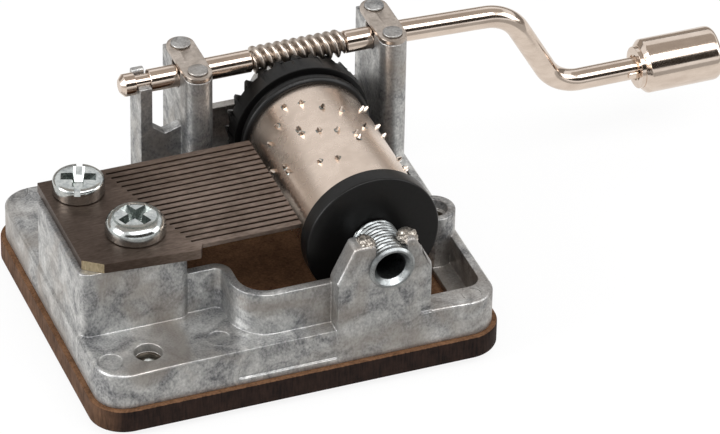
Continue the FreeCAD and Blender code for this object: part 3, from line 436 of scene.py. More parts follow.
class Finishes:
    """The finishes of the movement, made once and shared by its pieces."""

    def __init__(self) -> None:
        """Makes every material."""
        # Raw die-cast zinc: grey, with cloudy flow marks, darker stains and a dull cast skin
        self.zinc = Finish(
            name="raw_die_cast_zinc", dark="#696a6d", light="#d3d3d1",
            metallic=0.85, roughness=0.42, roughness_spread=0.13,
            blotch_mm=4.0, grain_mm=0.24, grain_lift_mm=0.007,
            stretch=(1.0, 1.0, 0.7), grain_share=0.33, swirl=1.3, patch="#9a938c",
        ).make()
        # Zinc where a punch has staked the bracket: torn, bright and rough
        self.staked = Finish(
            name="staked_bright_zinc", dark="#847e77", light="#c4bdb4",
            metallic=1.0, roughness=0.4, roughness_spread=0.1,
            blotch_mm=0.6, grain_mm=0.25, grain_lift_mm=0.015,
        ).make()
        # Tapped holes in the casting: painted shade, darker down their walls
        self.hole_shade = Finish(
            name="painted_shade_hole_zinc", dark="#2d2823", light="#6e665c",
            metallic=0.9, roughness=0.4, roughness_spread=0.1,
            blotch_mm=0.7, grain_mm=0.2, grain_lift_mm=0.03,
            stretch=(0.2, 0.2, 3.0),
        ).make()
        # Comb steel, tempered and ground: brown grey, with grinding lines along the teeth
        self.comb = TemperedComb(
            name="ground_tempered_steel", dark="#6b5d53", light="#94847a",
            metallic=1.0, roughness=0.42, roughness_spread=0.08,
            blotch_mm=6.0, grain_mm=0.2, grain_lift_mm=0.005,
            stretch=(0.25, 1.0, 1.0),
        ).make()
        # The same steel where the corner of the comb was cut off last: bare, and brassy bright as a painted
        # highlight
        self.corner_steel_and_highlight = Finish(
            name="cut_steel_and_painted_highlight", dark="#a08f72", light="#d8c8a8",
            metallic=1.0, roughness=0.35, roughness_spread=0.08,
            blotch_mm=1.0, grain_mm=0.15, grain_lift_mm=0.004,
            stretch=(1.0, 1.0, 0.2),
        ).make()
        # Polished nickel plate on wire: warm, mirror-like, with a faint cloud in the plating
        self.wire = Finish(
            name="polished_nickel_plate", dark="#cfbfb2", light="#e2d3c6",
            metallic=1.0, roughness=0.13, roughness_spread=0.04,
            blotch_mm=3.0, grain_mm=0.8, grain_lift_mm=0.0002,
            stretch=(0.3, 1.0, 1.0),
        ).make()
        # Nickel plate on stamped straps: a little duller than the wire
        self.strap = Finish(
            name="nickel_plated_stamping", dark="#a2988f", light="#c6bbb1",
            metallic=1.0, roughness=0.32, roughness_spread=0.07,
            blotch_mm=3.0, grain_mm=0.5, grain_lift_mm=0.003,
        ).make()
        # Satin nickel sleeve: champagne in tone, with rings from polishing on the turn
        self.sleeve = TurnedMetal(
            name="satin_nickel_sleeve", dark="#d4c3b5", light="#e6d5c7",
            metallic=1.0, roughness=0.27, roughness_spread=0.03,
            blotch_mm=6.0, grain_mm=1.2, grain_lift_mm=0.0004,
            grain_share=0.3,
        ).make()
        # Bright zinc plate on screws: cool, shiny, slightly cloudy
        self.screw = Finish(
            name="bright_zinc_plate", dark="#a4a9aa", light="#cdd0cd",
            metallic=1.0, roughness=0.17, roughness_spread=0.05,
            blotch_mm=2.0, grain_mm=0.5, grain_lift_mm=0.001,
        ).make()
        # The same plate, rougher and darkened as painted shade: down in the screws' recesses and round the
        # pins' feet
        self.recess = Finish(
            name="painted_shade_recess_plate", dark="#69706f", light="#aeb4b0",
            metallic=1.0, roughness=0.3, roughness_spread=0.08,
            blotch_mm=0.8, grain_mm=0.3, grain_lift_mm=0.004,
        ).make()
        # Cut steel thread: grey, with the faint tears of the die
        self.thread = Finish(
            name="die_cut_steel_thread", dark="#7f8385", light="#b2b6b6",
            metallic=1.0, roughness=0.33, roughness_spread=0.08,
            blotch_mm=1.5, grain_mm=0.3, grain_lift_mm=0.002,
        ).make()
        # Lead tuning weights: dull and dark
        self.lead = Finish(
            name="cast_lead", dark="#45464a", light="#68696d",
            metallic=1.0, roughness=0.55, roughness_spread=0.08,
            blotch_mm=1.5, grain_mm=0.4, grain_lift_mm=0.01,
        ).make()
        # Moulded black nylon: satin, with the fine bloom of the mould
        self.black = Finish(
            name="moulded_black_nylon", dark="#060606", light="#0e0d0d",
            metallic=0.0, roughness=0.36, roughness_spread=0.07,
            blotch_mm=3.0, grain_mm=0.35, grain_lift_mm=0.003,
            specular=0.3,
        ).make()
        # Hardboard: pressed brown fibres on its faces, scorched sides, its left side painted lighter as
        # painted light
        self.board = SawnBoard(
            name="sawn_hardboard", dark="#4b3424", light="#7a5940",
            metallic=0.0, roughness=0.75, roughness_spread=0.08,
            blotch_mm=2.0, grain_mm=0.28, grain_lift_mm=0.04,
            stretch=(1.0, 1.0, 0.12), specular=0.15,
        ).make()


def finish_mesh(
    name: str, mesh: bpy.types.Mesh, material: bpy.types.Material, smooth_angle: float = SMOOTH_ANGLE
) -> bpy.types.Object:
    """Puts a mesh in the scene with its material and smooth faces.

    Args:
        name: The piece's name.
        mesh: Its mesh, in metres, in place.
        material: Its finish.
        smooth_angle: The largest angle of an edge that is shaded smooth.

    Returns:
        The piece's object, at the origin.
    """
    mesh.name = name
    mesh.materials.clear()
    mesh.materials.append(material)
    mesh.polygons.foreach_set("use_smooth", [True] * len(mesh.polygons))
    mesh.set_sharp_from_angle(angle=smooth_angle)
    piece = bpy.data.objects.new(name, mesh)
    bpy.context.scene.collection.objects.link(piece)
    return piece


def settle(piece: bpy.types.Object) -> None:
    """Turns a piece's modifiers into its mesh.

    Args:
        piece: The object, whose modifiers are then removed.
    """
    bpy.context.view_layer.update()
    graph = bpy.context.evaluated_depsgraph_get()
    mesh = bpy.data.meshes.new_from_object(piece.evaluated_get(graph))
    old = piece.data
    piece.modifiers.clear()
    piece.data = mesh
    mesh.name = piece.name
    if old.users == 0:
        bpy.data.meshes.remove(old)


def keep(piece: bpy.types.Object, body: Body, slot: str, *nodes: str) -> None:
    """Hands a finished piece to the frame.

    Args:
        piece: The finished object.
        body: The body that it rides on.
        slot: The record's slot of its finish; not used.
        nodes: The solids that it stands for.
    """
    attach(piece, body.value)
    if nodes:
        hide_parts(*nodes)
    LOG.info("%s: %d faces on %s", piece.name, len(piece.data.polygons), body.value)


def to_mesh(name: str, work: bmesh.types.BMesh) -> bpy.types.Mesh:
    """Writes out a mesh under construction and frees it.

    Args:
        name: The mesh's name.
        work: The mesh under construction.

    Returns:
        The finished mesh.
    """
    mesh = bpy.data.meshes.new(name)
    work.to_mesh(mesh)
    work.free()
    return mesh


def ease(work: bmesh.types.BMesh, least: float, width: float, steps: int, test: PointTest) -> None:
    """Rounds the sharp edges of a mesh that lie in one place.

    Args:
        work: The mesh.
        least: The least angle of a sharp edge, in radians.
        width: The width of the round, in millimetres.
        steps: Flats in the round.
        test: Whether a point, in metres, is in that place.
    """
    sharp = [edge for edge in work.edges if edge.calc_face_angle() > least]
    soft = [edge for edge in sharp if all(test(vert.co) for vert in edge.verts)]
    bmesh.ops.bevel(
        work, geom=soft, offset=width * MM, segments=steps, profile=0.5, affect="EDGES", miter_outer="ARC"
    )


def eased_copy(
    name: str,
    node: str,
    material: bpy.types.Material,
    edge_mm: float,
    turn_deg: float = 50.0,
    rounds: Sequence[Round] = (),
    corners: Sequence[Round] = (),
    is_stray: PointTest | None = None,
    smooth_angle: float = SMOOTH_ANGLE,
) -> bpy.types.Object:
    """Copies a solid and eases its edges.

    Args:
        name: The piece's name.
        node: The solid that it copies.
        material: Its finish.
        edge_mm: The width of the eased edge.
        turn_deg: The least angle of an edge that is eased.
        rounds: Larger rounds, each with the test of a point, in metres, on its edges.
        corners: Rounds of upright corners, made while the faces are whole.
        is_stray: Whether a point that the rounding has moved goes back onto the solid.
        smooth_angle: The largest angle of an edge that is shaded smooth.

    Returns:
        The piece, with its edges rounded in its mesh.
    """
    work = bmesh.new()
    work.from_mesh(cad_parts[node].data)
    bmesh.ops.remove_doubles(work, verts=work.verts, dist=SAME_SPOT)
    bmesh.ops.dissolve_degenerate(work, edges=work.edges, dist=SAME_SPOT)
    bmesh.ops.dissolve_limit(work, angle_limit=FLAT_ANGLE, verts=work.verts, edges=work.edges)
    solid = BVHTree.FromBMesh(work)
    least = math.radians(turn_deg)
    for width, is_soft in corners:
        ease(work, least, width, CORNER_STEPS, is_soft)
    split = [face for face in work.faces if len(face.verts) > 4 and face.normal.y > FRONT_FACING]
    bmesh.ops.triangulate(work, faces=split)
    for width, is_soft in rounds:
        ease(work, least, width, ROUND_STEPS, is_soft)
    ease(work, least, edge_mm, EDGE_STEPS, lambda point: True)
    for vert in work.verts:
        if is_stray and is_stray(vert.co):
            vert.co = solid.find_nearest(vert.co)[0]
    bmesh.ops.dissolve_degenerate(work, edges=work.edges, dist=SAME_SPOT)
    piece = finish_mesh(name, to_mesh(name, work), material, smooth_angle)
    weigh = piece.modifiers.new("weigh", "WEIGHTED_NORMAL")
    weigh.keep_sharp = True
    settle(piece)
    return piece


def round_corners(corners: Sequence[tuple[float, float, float]], steps: int = 5) -> list[Point]:
    """Rounds the corners of a turned profile.

    Args:
        corners: Place along the axis, radius, and the round at that corner.
        steps: Flats in each round.

    Returns:
        The profile's points.
    """
    points: list[Point] = []
    for place, (along, out, size) in enumerate(corners):
        if size <= 0 or place in (0, len(corners) - 1):
            points.append((along, out))
            continue
        here = Vector((along, out))
        back = (Vector(corners[place - 1][:2]) - here).normalized()
        ahead = (Vector(corners[place + 1][:2]) - here).normalized()
        for step in range(steps + 1):
            share = step / steps
            spot = here + back * size * (1 - share) ** 2 + ahead * size * share ** 2
            points.append((spot.x, spot.y))
    return points


def set_out(axis: Axis, centre: Sequence[float], along: float, out: float, angle: float) -> Vector:
    """The place of a point on a turned piece.

    Args:
        axis: The direction that it is turned about.
        centre: A point on the axis, in millimetres.
        along: How far along the axis.
        out: The radius there.
        angle: The turn about the axis.

    Returns:
        The point in metres.
    """
    one, two = out * math.cos(angle), out * math.sin(angle)
    offset = {
        Axis.X: (along, one, two),
        Axis.Y: (two, along, one),
        Axis.Z: (one, two, along),
    }[axis]
    return (Vector(centre) + Vector(offset)) * MM


def skin(rings: Sequence[Sequence[Vector]], closed: bool) -> bmesh.types.BMesh:
    """Joins rings of points into a surface.

    Args:
        rings: Rings with the same number of points; a ring of one point is a pole.
        closed: Whether the last ring joins the first.

    Returns:
        The surface, with its faces outwards.
    """
    work = bmesh.new()
    rows = [[work.verts.new(point) for point in ring] for ring in rings]
    pairs = list(zip(rows, rows[1:]))
    if closed:
        pairs.append((rows[-1], rows[0]))
    for lower, upper in pairs:
        count = max(len(lower), len(upper))
        for place in range(count):
            after = (place + 1) % count
            loop = [lower[place % len(lower)], lower[after % len(lower)]]
            loop += [upper[after % len(upper)], upper[place % len(upper)]]
            work.faces.new(list(dict.fromkeys(loop)))
    bmesh.ops.recalc_face_normals(work, faces=work.faces)
    return work


def lathe(
    axis: Axis, centre: Sequence[float], profile: Sequence[Point], sides: int = 96, closed: bool = False
) -> bpy.types.Mesh:
    """Turns a profile about an axis.

    Args:
        axis: The direction that it is turned about.
        centre: A point on the axis, in millimetres.
        profile: Places along the axis and radii.
        sides: Flats round the piece.
        closed: Whether the profile is a loop.

    Returns:
        The turned mesh.
    """
    turns = [math.tau * step / sides for step in range(sides)]
    rings = []
    for along, out in profile:
        if out == 0:
            rings.append([set_out(axis, centre, along, 0, 0)])
        else:
            rings.append([set_out(axis, centre, along, out, turn) for turn in turns])
    return to_mesh("turned", skin(rings, closed))


@dataclass
class Base:
    """The hardboard base and its screws."""

    edge_mm: float = 0.14
    screw_edge_mm: float = 0.12

    def build(self, finishes: Finishes) -> None:
        """Dresses the board and the screws under it.

        Args:
            finishes: The finishes of the movement.
        """
        board = eased_copy("hardboard_base", "base_board", finishes.board, self.edge_mm)
        keep(board, Body.MOVEMENT, "hardboard", "base_board")
        screws = eased_copy("base_screw_set", "base_screws", finishes.screw, self.screw_edge_mm)
        keep(screws, Body.MOVEMENT, "zinc_screw", "base_screws")


@dataclass
class Casting:
    """The die-cast frame with its posts, fork and bracket, and the straps over the shaft."""

    edge_mm: float = 0.13
    strap_edge_mm: float = 0.14
    pivot_edge_mm: float = 0.15
    holes: tuple[Point, ...] = ((-17.7, -16.1), (-13.2, 15.2), (21.78, -4.32))
    hole_reach: float = 1.6
    hole_mouth: float = 0.3
    hole_foot: float = 4.0
    cheek_round: float = 0.44
    cheek_x: float = 3.9
    cheek_y: float = -15.5
    cheek_z: float = 14.9
    mouth: float = 3.3
    pocket_corner: Point = (23.18, -16.53)
    pocket_round: float = 1.7
    corner_reach: float = 0.1
    rail_top: float = 8.5
    bracket_right: float = 15.72
    shoulder_foot: float = 1.0
    mark_place: Point = (21.3, -18.1)
    mark_radius: float = 1.15
    mark_width: float = 0.16
    mark_rise: float = 0.05
    mark_sides: int = 48
    smooth_deg: float = 48.0
    axis_x: float = 10.5
    axis_z: float = 16.2
    lip_y: float = -18.4
    left_lip: Point = (7.75, 19.25)
    right_lip: Point = (12.85, 19.0)
    lip_size: tuple[float, float, float] = (1.15, 1.35, 0.8)
    lip_grain: float = 2.2
    lip_rough: float = 0.2
    lip_noise: tuple[float, float, int] = (0.6, 2.1, 4)

    def on_cheek(self, point: Vector) -> bool:
        """Whether a point is on top of the bracket's cheeks.

        Args:
            point: The point, in metres.

        Returns:
            True if it is there.
        """
        from_tube = math.hypot(point.x / MM - self.axis_x, point.z / MM - self.axis_z)
        high = point.x > self.cheek_x * MM and point.y < self.cheek_y * MM and point.z > self.cheek_z * MM
        return high and from_tube > self.mouth

    def in_hole(self, point: Vector) -> bool:
        """Whether a point is on the wall of a screw hole, below its mouth.

        Args:
            point: The point, in metres.

        Returns:
            True if it is there.
        """
        x, y, z = point / MM
        low = self.hole_foot < z < self.rail_top - self.hole_mouth
        return low and any(math.hypot(x - one, y - two) < self.hole_reach for one, two in self.holes)

    def at_pocket(self, point: Vector) -> bool:
        """Whether a point is on the upright corner of the right pocket."""
        x, y = self.pocket_corner
        return math.hypot(point.x / MM - x, point.y / MM - y) < self.corner_reach

    def off_shoulder(self, point: Vector) -> bool:
        """Whether a point stands out past the right side of the bracket."""
        x, y, z = point / MM
        return x > self.bracket_right and y < self.cheek_y and z > self.rail_top + self.shoulder_foot

    def ejector_mark(self) -> bpy.types.Mesh:
        """Turns the fine raised ring that an ejector pin left on the right corner of the rail.

        Returns:
            The ring's mesh.
        """
        inner, outer = self.mark_radius - self.mark_width / 2, self.mark_radius + self.mark_width / 2
        profile = [
            (-self.mark_rise, inner),
            (self.mark_rise, inner + self.mark_width / 3),
            (self.mark_rise, outer - self.mark_width / 3),
            (-self.mark_rise, outer),
        ]
        return lathe(Axis.Z, (*self.mark_place, self.rail_top), profile, self.mark_sides, closed=True)

    def staked_lips(self) -> bpy.types.Mesh:
        """Shapes the zinc that a punch has driven against the tube on both sides.

        Returns:
            Two rough lumps that sit in the tops of the bracket's cheeks.
        """
        work = bmesh.new()
        for x, z in (self.left_lip, self.right_lip):
            made = bmesh.ops.create_icosphere(work, subdivisions=4, radius=1.0)["verts"]
            for vert in made:
                out = vert.co.normalized()
                rough = noise.fractal(out * self.lip_grain + Vector((x, 0, z)), *self.lip_noise)
                spot = Vector(size * part for size, part in zip(self.lip_size, out))
                vert.co = (Vector((x, self.lip_y, z)) + spot * (1 + self.lip_rough * rough)) * MM
        return to_mesh("staked_lips", work)

    def build(self, finishes: Finishes) -> None:
        """Dresses the casting, the straps and the rear pivot.

        Args:
            finishes: The finishes of the movement.
        """
        casting = eased_copy(
            "cast_frame",
            "frame_casting",
            finishes.zinc,
            self.edge_mm,
            rounds=((self.cheek_round, self.on_cheek),),
            corners=((self.pocket_round, self.at_pocket),),
            is_stray=self.off_shoulder,
            smooth_angle=math.radians(self.smooth_deg),
        )
        # The walls of the screw holes take the darker zinc: painted shade
        casting.data.materials.append(finishes.hole_shade)
        for face in casting.data.polygons:
            face.material_index = int(self.in_hole(face.center))
        keep(casting, Body.MOVEMENT, "die_cast_zinc", "frame_casting")
        for side in ("left", "right"):
            strap = eased_copy(f"{side}_bearing_strap", f"{side}_strap", finishes.strap, self.strap_edge_mm)
            keep(strap, Body.MOVEMENT, "nickel_strap", f"{side}_strap")
        lips = finish_mesh("staked_bracket_lips", self.staked_lips(), finishes.staked)
        keep(lips, Body.MOVEMENT, "die_cast_zinc")
        mark = finish_mesh("ejector_pin_mark", self.ejector_mark(), finishes.zinc)
        keep(mark, Body.MOVEMENT, "die_cast_zinc")
        pivot = eased_copy("rear_pivot_pin", "rear_pivot", finishes.screw, self.pivot_edge_mm)
        keep(pivot, Body.MOVEMENT, "zinc_screw", "rear_pivot")


@dataclass
class CombScrew:
    """A machine screw of the comb with a cross recess."""

    name: str
    x: float
    y: float
    seat_z: float
    head_radius: float
    head_height: float
    head_round: float
    crown: float
    recess_turn_deg: float
    recess_length: float = 3.7
    recess_width: float = 0.95
    recess_depth: float = 1.3
    slot_width: float = 0.0
    shank_radius: float = 1.4
    shank_depth: float = 7.3
    shank_round: float = 0.3
    seat_bevel: float = 0.12
    crown_share: float = 0.6
    crown_round: float = 0.6
    recess_foot: float = 0.35
    slot_depth: float = 0.75
    recess_rim: float = 0.4
    recess_lift: float = 0.3
    wall_slope: float = 0.7
    smooth_deg: float = 24.0
    sides: int = 72
    round_steps: int = 8

    def arm(
        self, length: float, width: float, depth: float, foot: float, turn_deg: float
    ) -> bpy.types.Object:
        """A tapered wedge that cuts one arm of the recess.

        Args:
            length: Its length at the top of the head.
            width: Its width there.
            depth: How deep it goes.
            foot: Its length at the bottom, as a share.
            turn_deg: Its turn about the screw.

        Returns:
            The cutting object.
        """
        top = self.seat_z + self.head_height
        work = bmesh.new()
        for height, share in ((top + depth, 2 - foot), (top - depth, foot)):
            for sign_x in (-1, 1):
                for sign_y in (-1, 1):
                    slim = 0.5 * (1 + share)
                    work.verts.new((sign_x * length / 2 * share, sign_y * width / 2 * slim, height))
        bmesh.ops.convex_hull(work, input=work.verts)
        turn = Matrix.Translation((self.x, self.y, 0)) @ Matrix.Rotation(math.radians(turn_deg), 4, "Z")
        bmesh.ops.transform(work, matrix=Matrix.Scale(MM, 4) @ turn, verts=work.verts)
        cutter = bpy.data.objects.new("recess_arm", to_mesh("recess_arm", work))
        bpy.context.scene.collection.objects.link(cutter)
        return cutter

    def build(self, finishes: Finishes) -> None:
        """Turns the screw, cuts its recess and hands it over.

        Args:
            finishes: The finishes of the movement.
        """
        head = self.head_height
        profile = round_corners(
            [
                (-self.shank_depth, 0, 0),
                (-self.shank_depth, self.shank_radius, self.shank_round),
                (0, self.shank_radius, 0),
                (0, self.head_radius - self.seat_bevel, 0),
                (self.seat_bevel, self.head_radius, 0),
                (head - self.crown, self.head_radius, self.head_round),
                (head, self.crown_share * self.head_radius, self.crown_round),
                (head, 0, 0),
            ],
            steps=self.round_steps,
        )
        mesh = lathe(Axis.Z, (self.x, self.y, self.seat_z), profile, self.sides)
        screw = finish_mesh(f"comb_screw_{self.name}_piece", mesh, finishes.screw)
        turn = self.recess_turn_deg
        sizes = (self.recess_length, self.recess_width, self.recess_depth, self.recess_foot)
        arms = [self.arm(*sizes, turn), self.arm(*sizes, turn + 90)]
        if self.slot_width:
            arms.append(self.arm(3 * self.head_radius, self.slot_width, self.slot_depth, 1.0, turn + 90))
        for cutter in arms:
            cutting = screw.modifiers.new("recess", "BOOLEAN")
            cutting.operation = "DIFFERENCE"
            cutting.solver = "EXACT"
            cutting.object = cutter
        settle(screw)
        for cutter in arms:
            bpy.data.objects.remove(cutter)
        mesh = screw.data
        mesh.materials.clear()
        mesh.materials.append(finishes.screw)
        mesh.materials.append(finishes.recess)
        # Faces down in the cross recess take the darker plate: painted shade
        for face in mesh.polygons:
            reach = math.hypot(face.center.x / MM - self.x, face.center.y / MM - self.y)
            above = face.center.z > (self.seat_z + self.recess_lift) * MM
            inside = reach < self.head_radius - self.recess_rim
            face.material_index = int(above and inside and face.normal.z < self.wall_slope)
        mesh.polygons.foreach_set("use_smooth", [True] * len(mesh.polygons))
        mesh.set_sharp_from_angle(angle=math.radians(self.smooth_deg))
        keep(screw, Body.MOVEMENT, "zinc_screw", f"comb_screw_{self.name}")


@dataclass
class Comb:
    """The steel comb, the weights under its long teeth, and its two screws."""

    edge_mm: float = 0.07
    weight_edge_mm: float = 0.08
    corner_slant: float = 0.3
    top_z: float = 18.5

    def build(self, finishes: Finishes) -> None:
        """Dresses the comb and builds its screws.

        Args:
            finishes: The finishes of the movement.
        """
        comb = eased_copy("tuned_comb", "comb", finishes.comb, self.edge_mm)
        comb.data.materials.append(finishes.corner_steel_and_highlight)
        # Corner faces that face front and left take the bright steel: bare metal and a painted highlight
        for face in comb.data.polygons:
            if face.normal.x < -self.corner_slant and face.normal.y < -self.corner_slant:
                face.material_index = 1
        keep(comb, Body.MOVEMENT, "comb_steel", "comb")
        weights = eased_copy("tuning_weights", "comb_weights", finishes.lead, self.weight_edge_mm)
        keep(weights, Body.MOVEMENT, "tuning_lead", "comb_weights")
        spots = {}
        for name in ("rear", "front"):
            low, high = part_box(f"comb_screw_{name}")
            spots[name] = [(low[place] + high[place]) / 2 / MM for place in (0, 1)]
        rear = CombScrew(
            "rear",
            *spots["rear"],
            self.top_z,
            head_radius=3.05,
            head_height=2.1,
            head_round=0.55,
            crown=0.15,
            recess_turn_deg=-21.0,
            recess_length=4.2,
            recess_width=1.35,
            slot_width=0.75,
        )
        rear.build(finishes)
        front = CombScrew(
            "front",
            *spots["front"],
            self.top_z,
            head_radius=3.55,
            head_height=2.3,
            head_round=1.15,
            crown=0.5,
            recess_turn_deg=24.0,
            recess_length=4.3,
            recess_width=1.2,
            recess_depth=1.5,
        )
        front.build(finishes)


@dataclass
class BearingTube:
    """The hollow tube in the bracket, threaded outside."""

    axis_x: float = 10.5
    axis_z: float = 16.2
    front_y: float = -20.33
    shoulder_y: float = -14.04
    rear_y: float = -9.14
    radius: float = 2.78
    bore: float = 1.8
    journal: float = 2.2
    pitch: float = 0.55
    thread_depth: float = 0.15
    flank_slope: float = 2.6
    mouth_depth: float = 0.7
    mouth_flare: float = 0.5
    mouth_round: float = 0.12
    lip_round: float = 0.1
    bevel: float = 0.3
    sides: int = 72
    rows_each_pitch: int = 8

    def thread(self, along: float, turn: float) -> float:
        """The outside radius of the thread.

        Args:
            along: Distance from the front end.
            turn: The angle about the axis.

        Returns:
            The radius there.
        """
        phase = (along / self.pitch - turn / math.tau) % 1.0
        flank = min(abs(phase - 0.5) * self.flank_slope, 1.0)
        start = min(max((along - self.bevel) / self.pitch, 0.0), 1.0)
        return self.radius - self.thread_depth * (1 - flank) * start

    def build(self, finishes: Finishes) -> None:
        """Sweeps the thread and closes the tube through its bore.

        Args:
            finishes: The finishes of the movement.
        """
        turns = [math.tau * step / self.sides for step in range(self.sides)]
        centre = (self.axis_x, 0.0, self.axis_z)
        rings = []
        plain = round_corners(
            [
                (self.rear_y, self.bore, 0),
                (self.front_y + self.mouth_depth, self.bore, 0),
                (self.front_y, self.bore + self.mouth_flare, self.mouth_round),
                (self.front_y, self.radius - self.bevel, self.lip_round),
                (self.front_y + self.bevel, self.radius, 0),
            ]
        )
        for along, out in plain:
            rings.append([set_out(Axis.Y, centre, along, out, turn) for turn in turns])
        length = self.shoulder_y - self.front_y
        count = int(length / self.pitch * self.rows_each_pitch)
        for row in range(1, count + 1):
            along = self.bevel + (length - self.bevel) * row / count
            y = self.front_y + along
            rings.append([set_out(Axis.Y, centre, y, self.thread(along, turn), turn) for turn in turns])
        for along in (self.shoulder_y, self.rear_y):
            rings.append([set_out(Axis.Y, centre, along, self.journal, turn) for turn in turns])
        mesh = to_mesh("threaded_tube", skin(rings, True))
        tube = finish_mesh("threaded_bearing_tube", mesh, finishes.thread)
        keep(tube, Body.MOVEMENT, "zinc_screw", "bearing_tube")


# The teeth plucked at each step of one turn of the cylinder, counted from the rear tooth
TUNE = (
    (5, 12), (11,), (0, 4, 6, 11, 13), (2,), (7,), (4, 9, 10), (3, 8), (1, 7, 13),
    (0, 5, 6, 12), (2,), (3, 8, 9), (6,), (14,), (1, 10), (5, 16), (8, 12),
    (2,), (4, 11, 15), (7,), (0, 9), (3, 13), (6, 17), (10,), (1, 14),
)


@dataclass
class PinnedCylinder:
    """The sleeve with its pins, the cap at its front and the crown gear at its rear."""

    axis_x: float = 10.5
    axis_z: float = 16.2
    radius: float = 7.4
    wall: float = 0.5
    front_y: float = -11.69
    rear_y: float = 8.0
    track_pitch: float = 0.9939
    pin_height: float = 0.55
    pin_foot: float = 0.34
    pin_tip: float = 0.14
    pin_sides: int = 7
    pin_rows: int = 2
    pin_lean: float = 0.22
    pin_sink: float = 0.02
    tear_radius: float = 0.5
    tear_height: float = 0.05
    tear_sides: int = 5
    sleeve_round: float = 0.08
    cap_radius: float = 8.15
    cap_thickness: float = 2.2
    cap_round: float = 0.28
    cap_bore: float = 2.26
    bore_round: float = 0.15
    rear_round: float = 0.15
    plug_depth: float = 2.4
    plug_gap: float = 0.02
    gear_edge_mm: float = 0.09
    gear_turn_deg: float = 40.0
    teeth: int = 24
    tooth_root_y: float = 11.95
    tooth_tip_y: float = 13.2
    tooth_root: float = 1.6
    tooth_tip: float = 0.34
    tooth_inner: float = 7.4
    tooth_outer: float = 8.49
    tooth_edge_mm: float = 0.06
    tip_band: float = 0.05
    sides: int = 144
    seed: int = 7

    def pin_tree(self) -> bpy.types.NodeTree:
        """Builds the tree that sets a pin on every point.

        Returns:
            The tree, with named inputs for the pin's sizes and finish.
        """
        tree = named_tree(
            "sleeve_pins",
            {
                "Pin Height": "NodeSocketFloat",
                "Pin Foot": "NodeSocketFloat",
                "Pin Tip": "NodeSocketFloat",
                "Seed": "NodeSocketInt",
                "Tear Radius": "NodeSocketFloat",
                "Tear Height": "NodeSocketFloat",
                "Finish": "NodeSocketMaterial",
                "Tear Shadow Finish": "NodeSocketMaterial",
            },
        )
        given = add_node(tree, "NodeGroupInput").outputs
        pin = add_node(
            tree,
            "GeometryNodeMeshCone",
            {
                "Vertices": self.pin_sides,
                "Side Segments": self.pin_rows,
                "Radius Top": given["Pin Tip"],
                "Radius Bottom": given["Pin Foot"],
                "Depth": given["Pin Height"],
            },
        )
        bright = add_node(
            tree, "GeometryNodeSetMaterial", {"Geometry": pin.outputs["Mesh"], "Material": given["Finish"]}
        )
        # A low cone round each pin's foot, in the darker plate: painted shadow round the pin
        tear = add_node(
            tree,
            "GeometryNodeMeshCone",
            {
                "Vertices": self.tear_sides,
                "Radius Top": given["Pin Foot"],
                "Radius Bottom": given["Tear Radius"],
                "Depth": given["Tear Height"],
            },
        )
        dull = add_node(
            tree,
            "GeometryNodeSetMaterial",
            {"Geometry": tear.outputs["Mesh"], "Material": given["Tear Shadow Finish"]},
        )
        whole = add_node(tree, "GeometryNodeJoinGeometry")
        tree.links.new(bright.outputs[0], whole.inputs[0])
        tree.links.new(dull.outputs[0], whole.inputs[0])
        outward = add_node(
            tree, "GeometryNodeInputNamedAttribute", {"Name": "outward"}, data_type="FLOAT_VECTOR"
        )
        lean = add_node(
            tree,
            "FunctionNodeRandomValue",
            {0: [-self.pin_lean] * 3, 1: [self.pin_lean] * 3, "Seed": given["Seed"]},
            data_type="FLOAT_VECTOR",
        )
        leaning = add_node(
            tree, "ShaderNodeVectorMath", {0: outward.outputs[0], 1: lean.outputs[0]}, operation="ADD"
        )
        turned = add_node(
            tree, "FunctionNodeAlignRotationToVector", {"Vector": leaning.outputs[0]}, axis="Z"
        )
        placed = add_node(
            tree,
            "GeometryNodeInstanceOnPoints",
            {"Points": given["Geometry"], "Instance": whole.outputs[0], "Rotation": turned.outputs[0]},
        )
        real = add_node(tree, "GeometryNodeRealizeInstances", {0: placed.outputs[0]})
        add_node(tree, "NodeGroupOutput", {0: real.outputs[0]})
        return tree

    def build_pins(self, finishes: Finishes) -> None:
        """Sets a pin on the sleeve for each plucked tooth of the tune.

        Args:
            finishes: The finishes of the movement.
        """
        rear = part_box("comb")[1][1] / MM
        spots, outwards = [], []
        for step, tracks in enumerate(TUNE):
            angle = math.tau * step / len(TUNE)
            out = Vector((math.cos(angle), 0, math.sin(angle)))
            for track in tracks:
                spot = Vector((self.axis_x, rear - (track + 0.5) * self.track_pitch, self.axis_z))
                spots.append((spot + out * (self.radius - self.pin_sink)) * MM)
                outwards.append(out)
        mesh = bpy.data.meshes.new("pin_spots")
        mesh.from_pydata(spots, [], [])
        aim = mesh.attributes.new("outward", "FLOAT_VECTOR", "POINT")
        aim.data.foreach_set("vector", [part for out in outwards for part in out])
        pins = bpy.data.objects.new("sleeve_pins", mesh)
        bpy.context.scene.collection.objects.link(pins)
        self.grow(
            pins,
            self.pin_tree(),
            {
                "Pin Height": self.pin_height * MM,
                "Pin Foot": self.pin_foot * MM,
                "Pin Tip": self.pin_tip * MM,
                "Tear Radius": self.tear_radius * MM,
                "Tear Height": self.tear_height * MM,
                "Seed": self.seed,
                "Finish": finishes.wire,
                # The darker plate round the pins' feet is painted shadow
                "Tear Shadow Finish": finishes.recess,
            },
        )
        keep(pins, Body.CYLINDER, "nickel_sleeve")

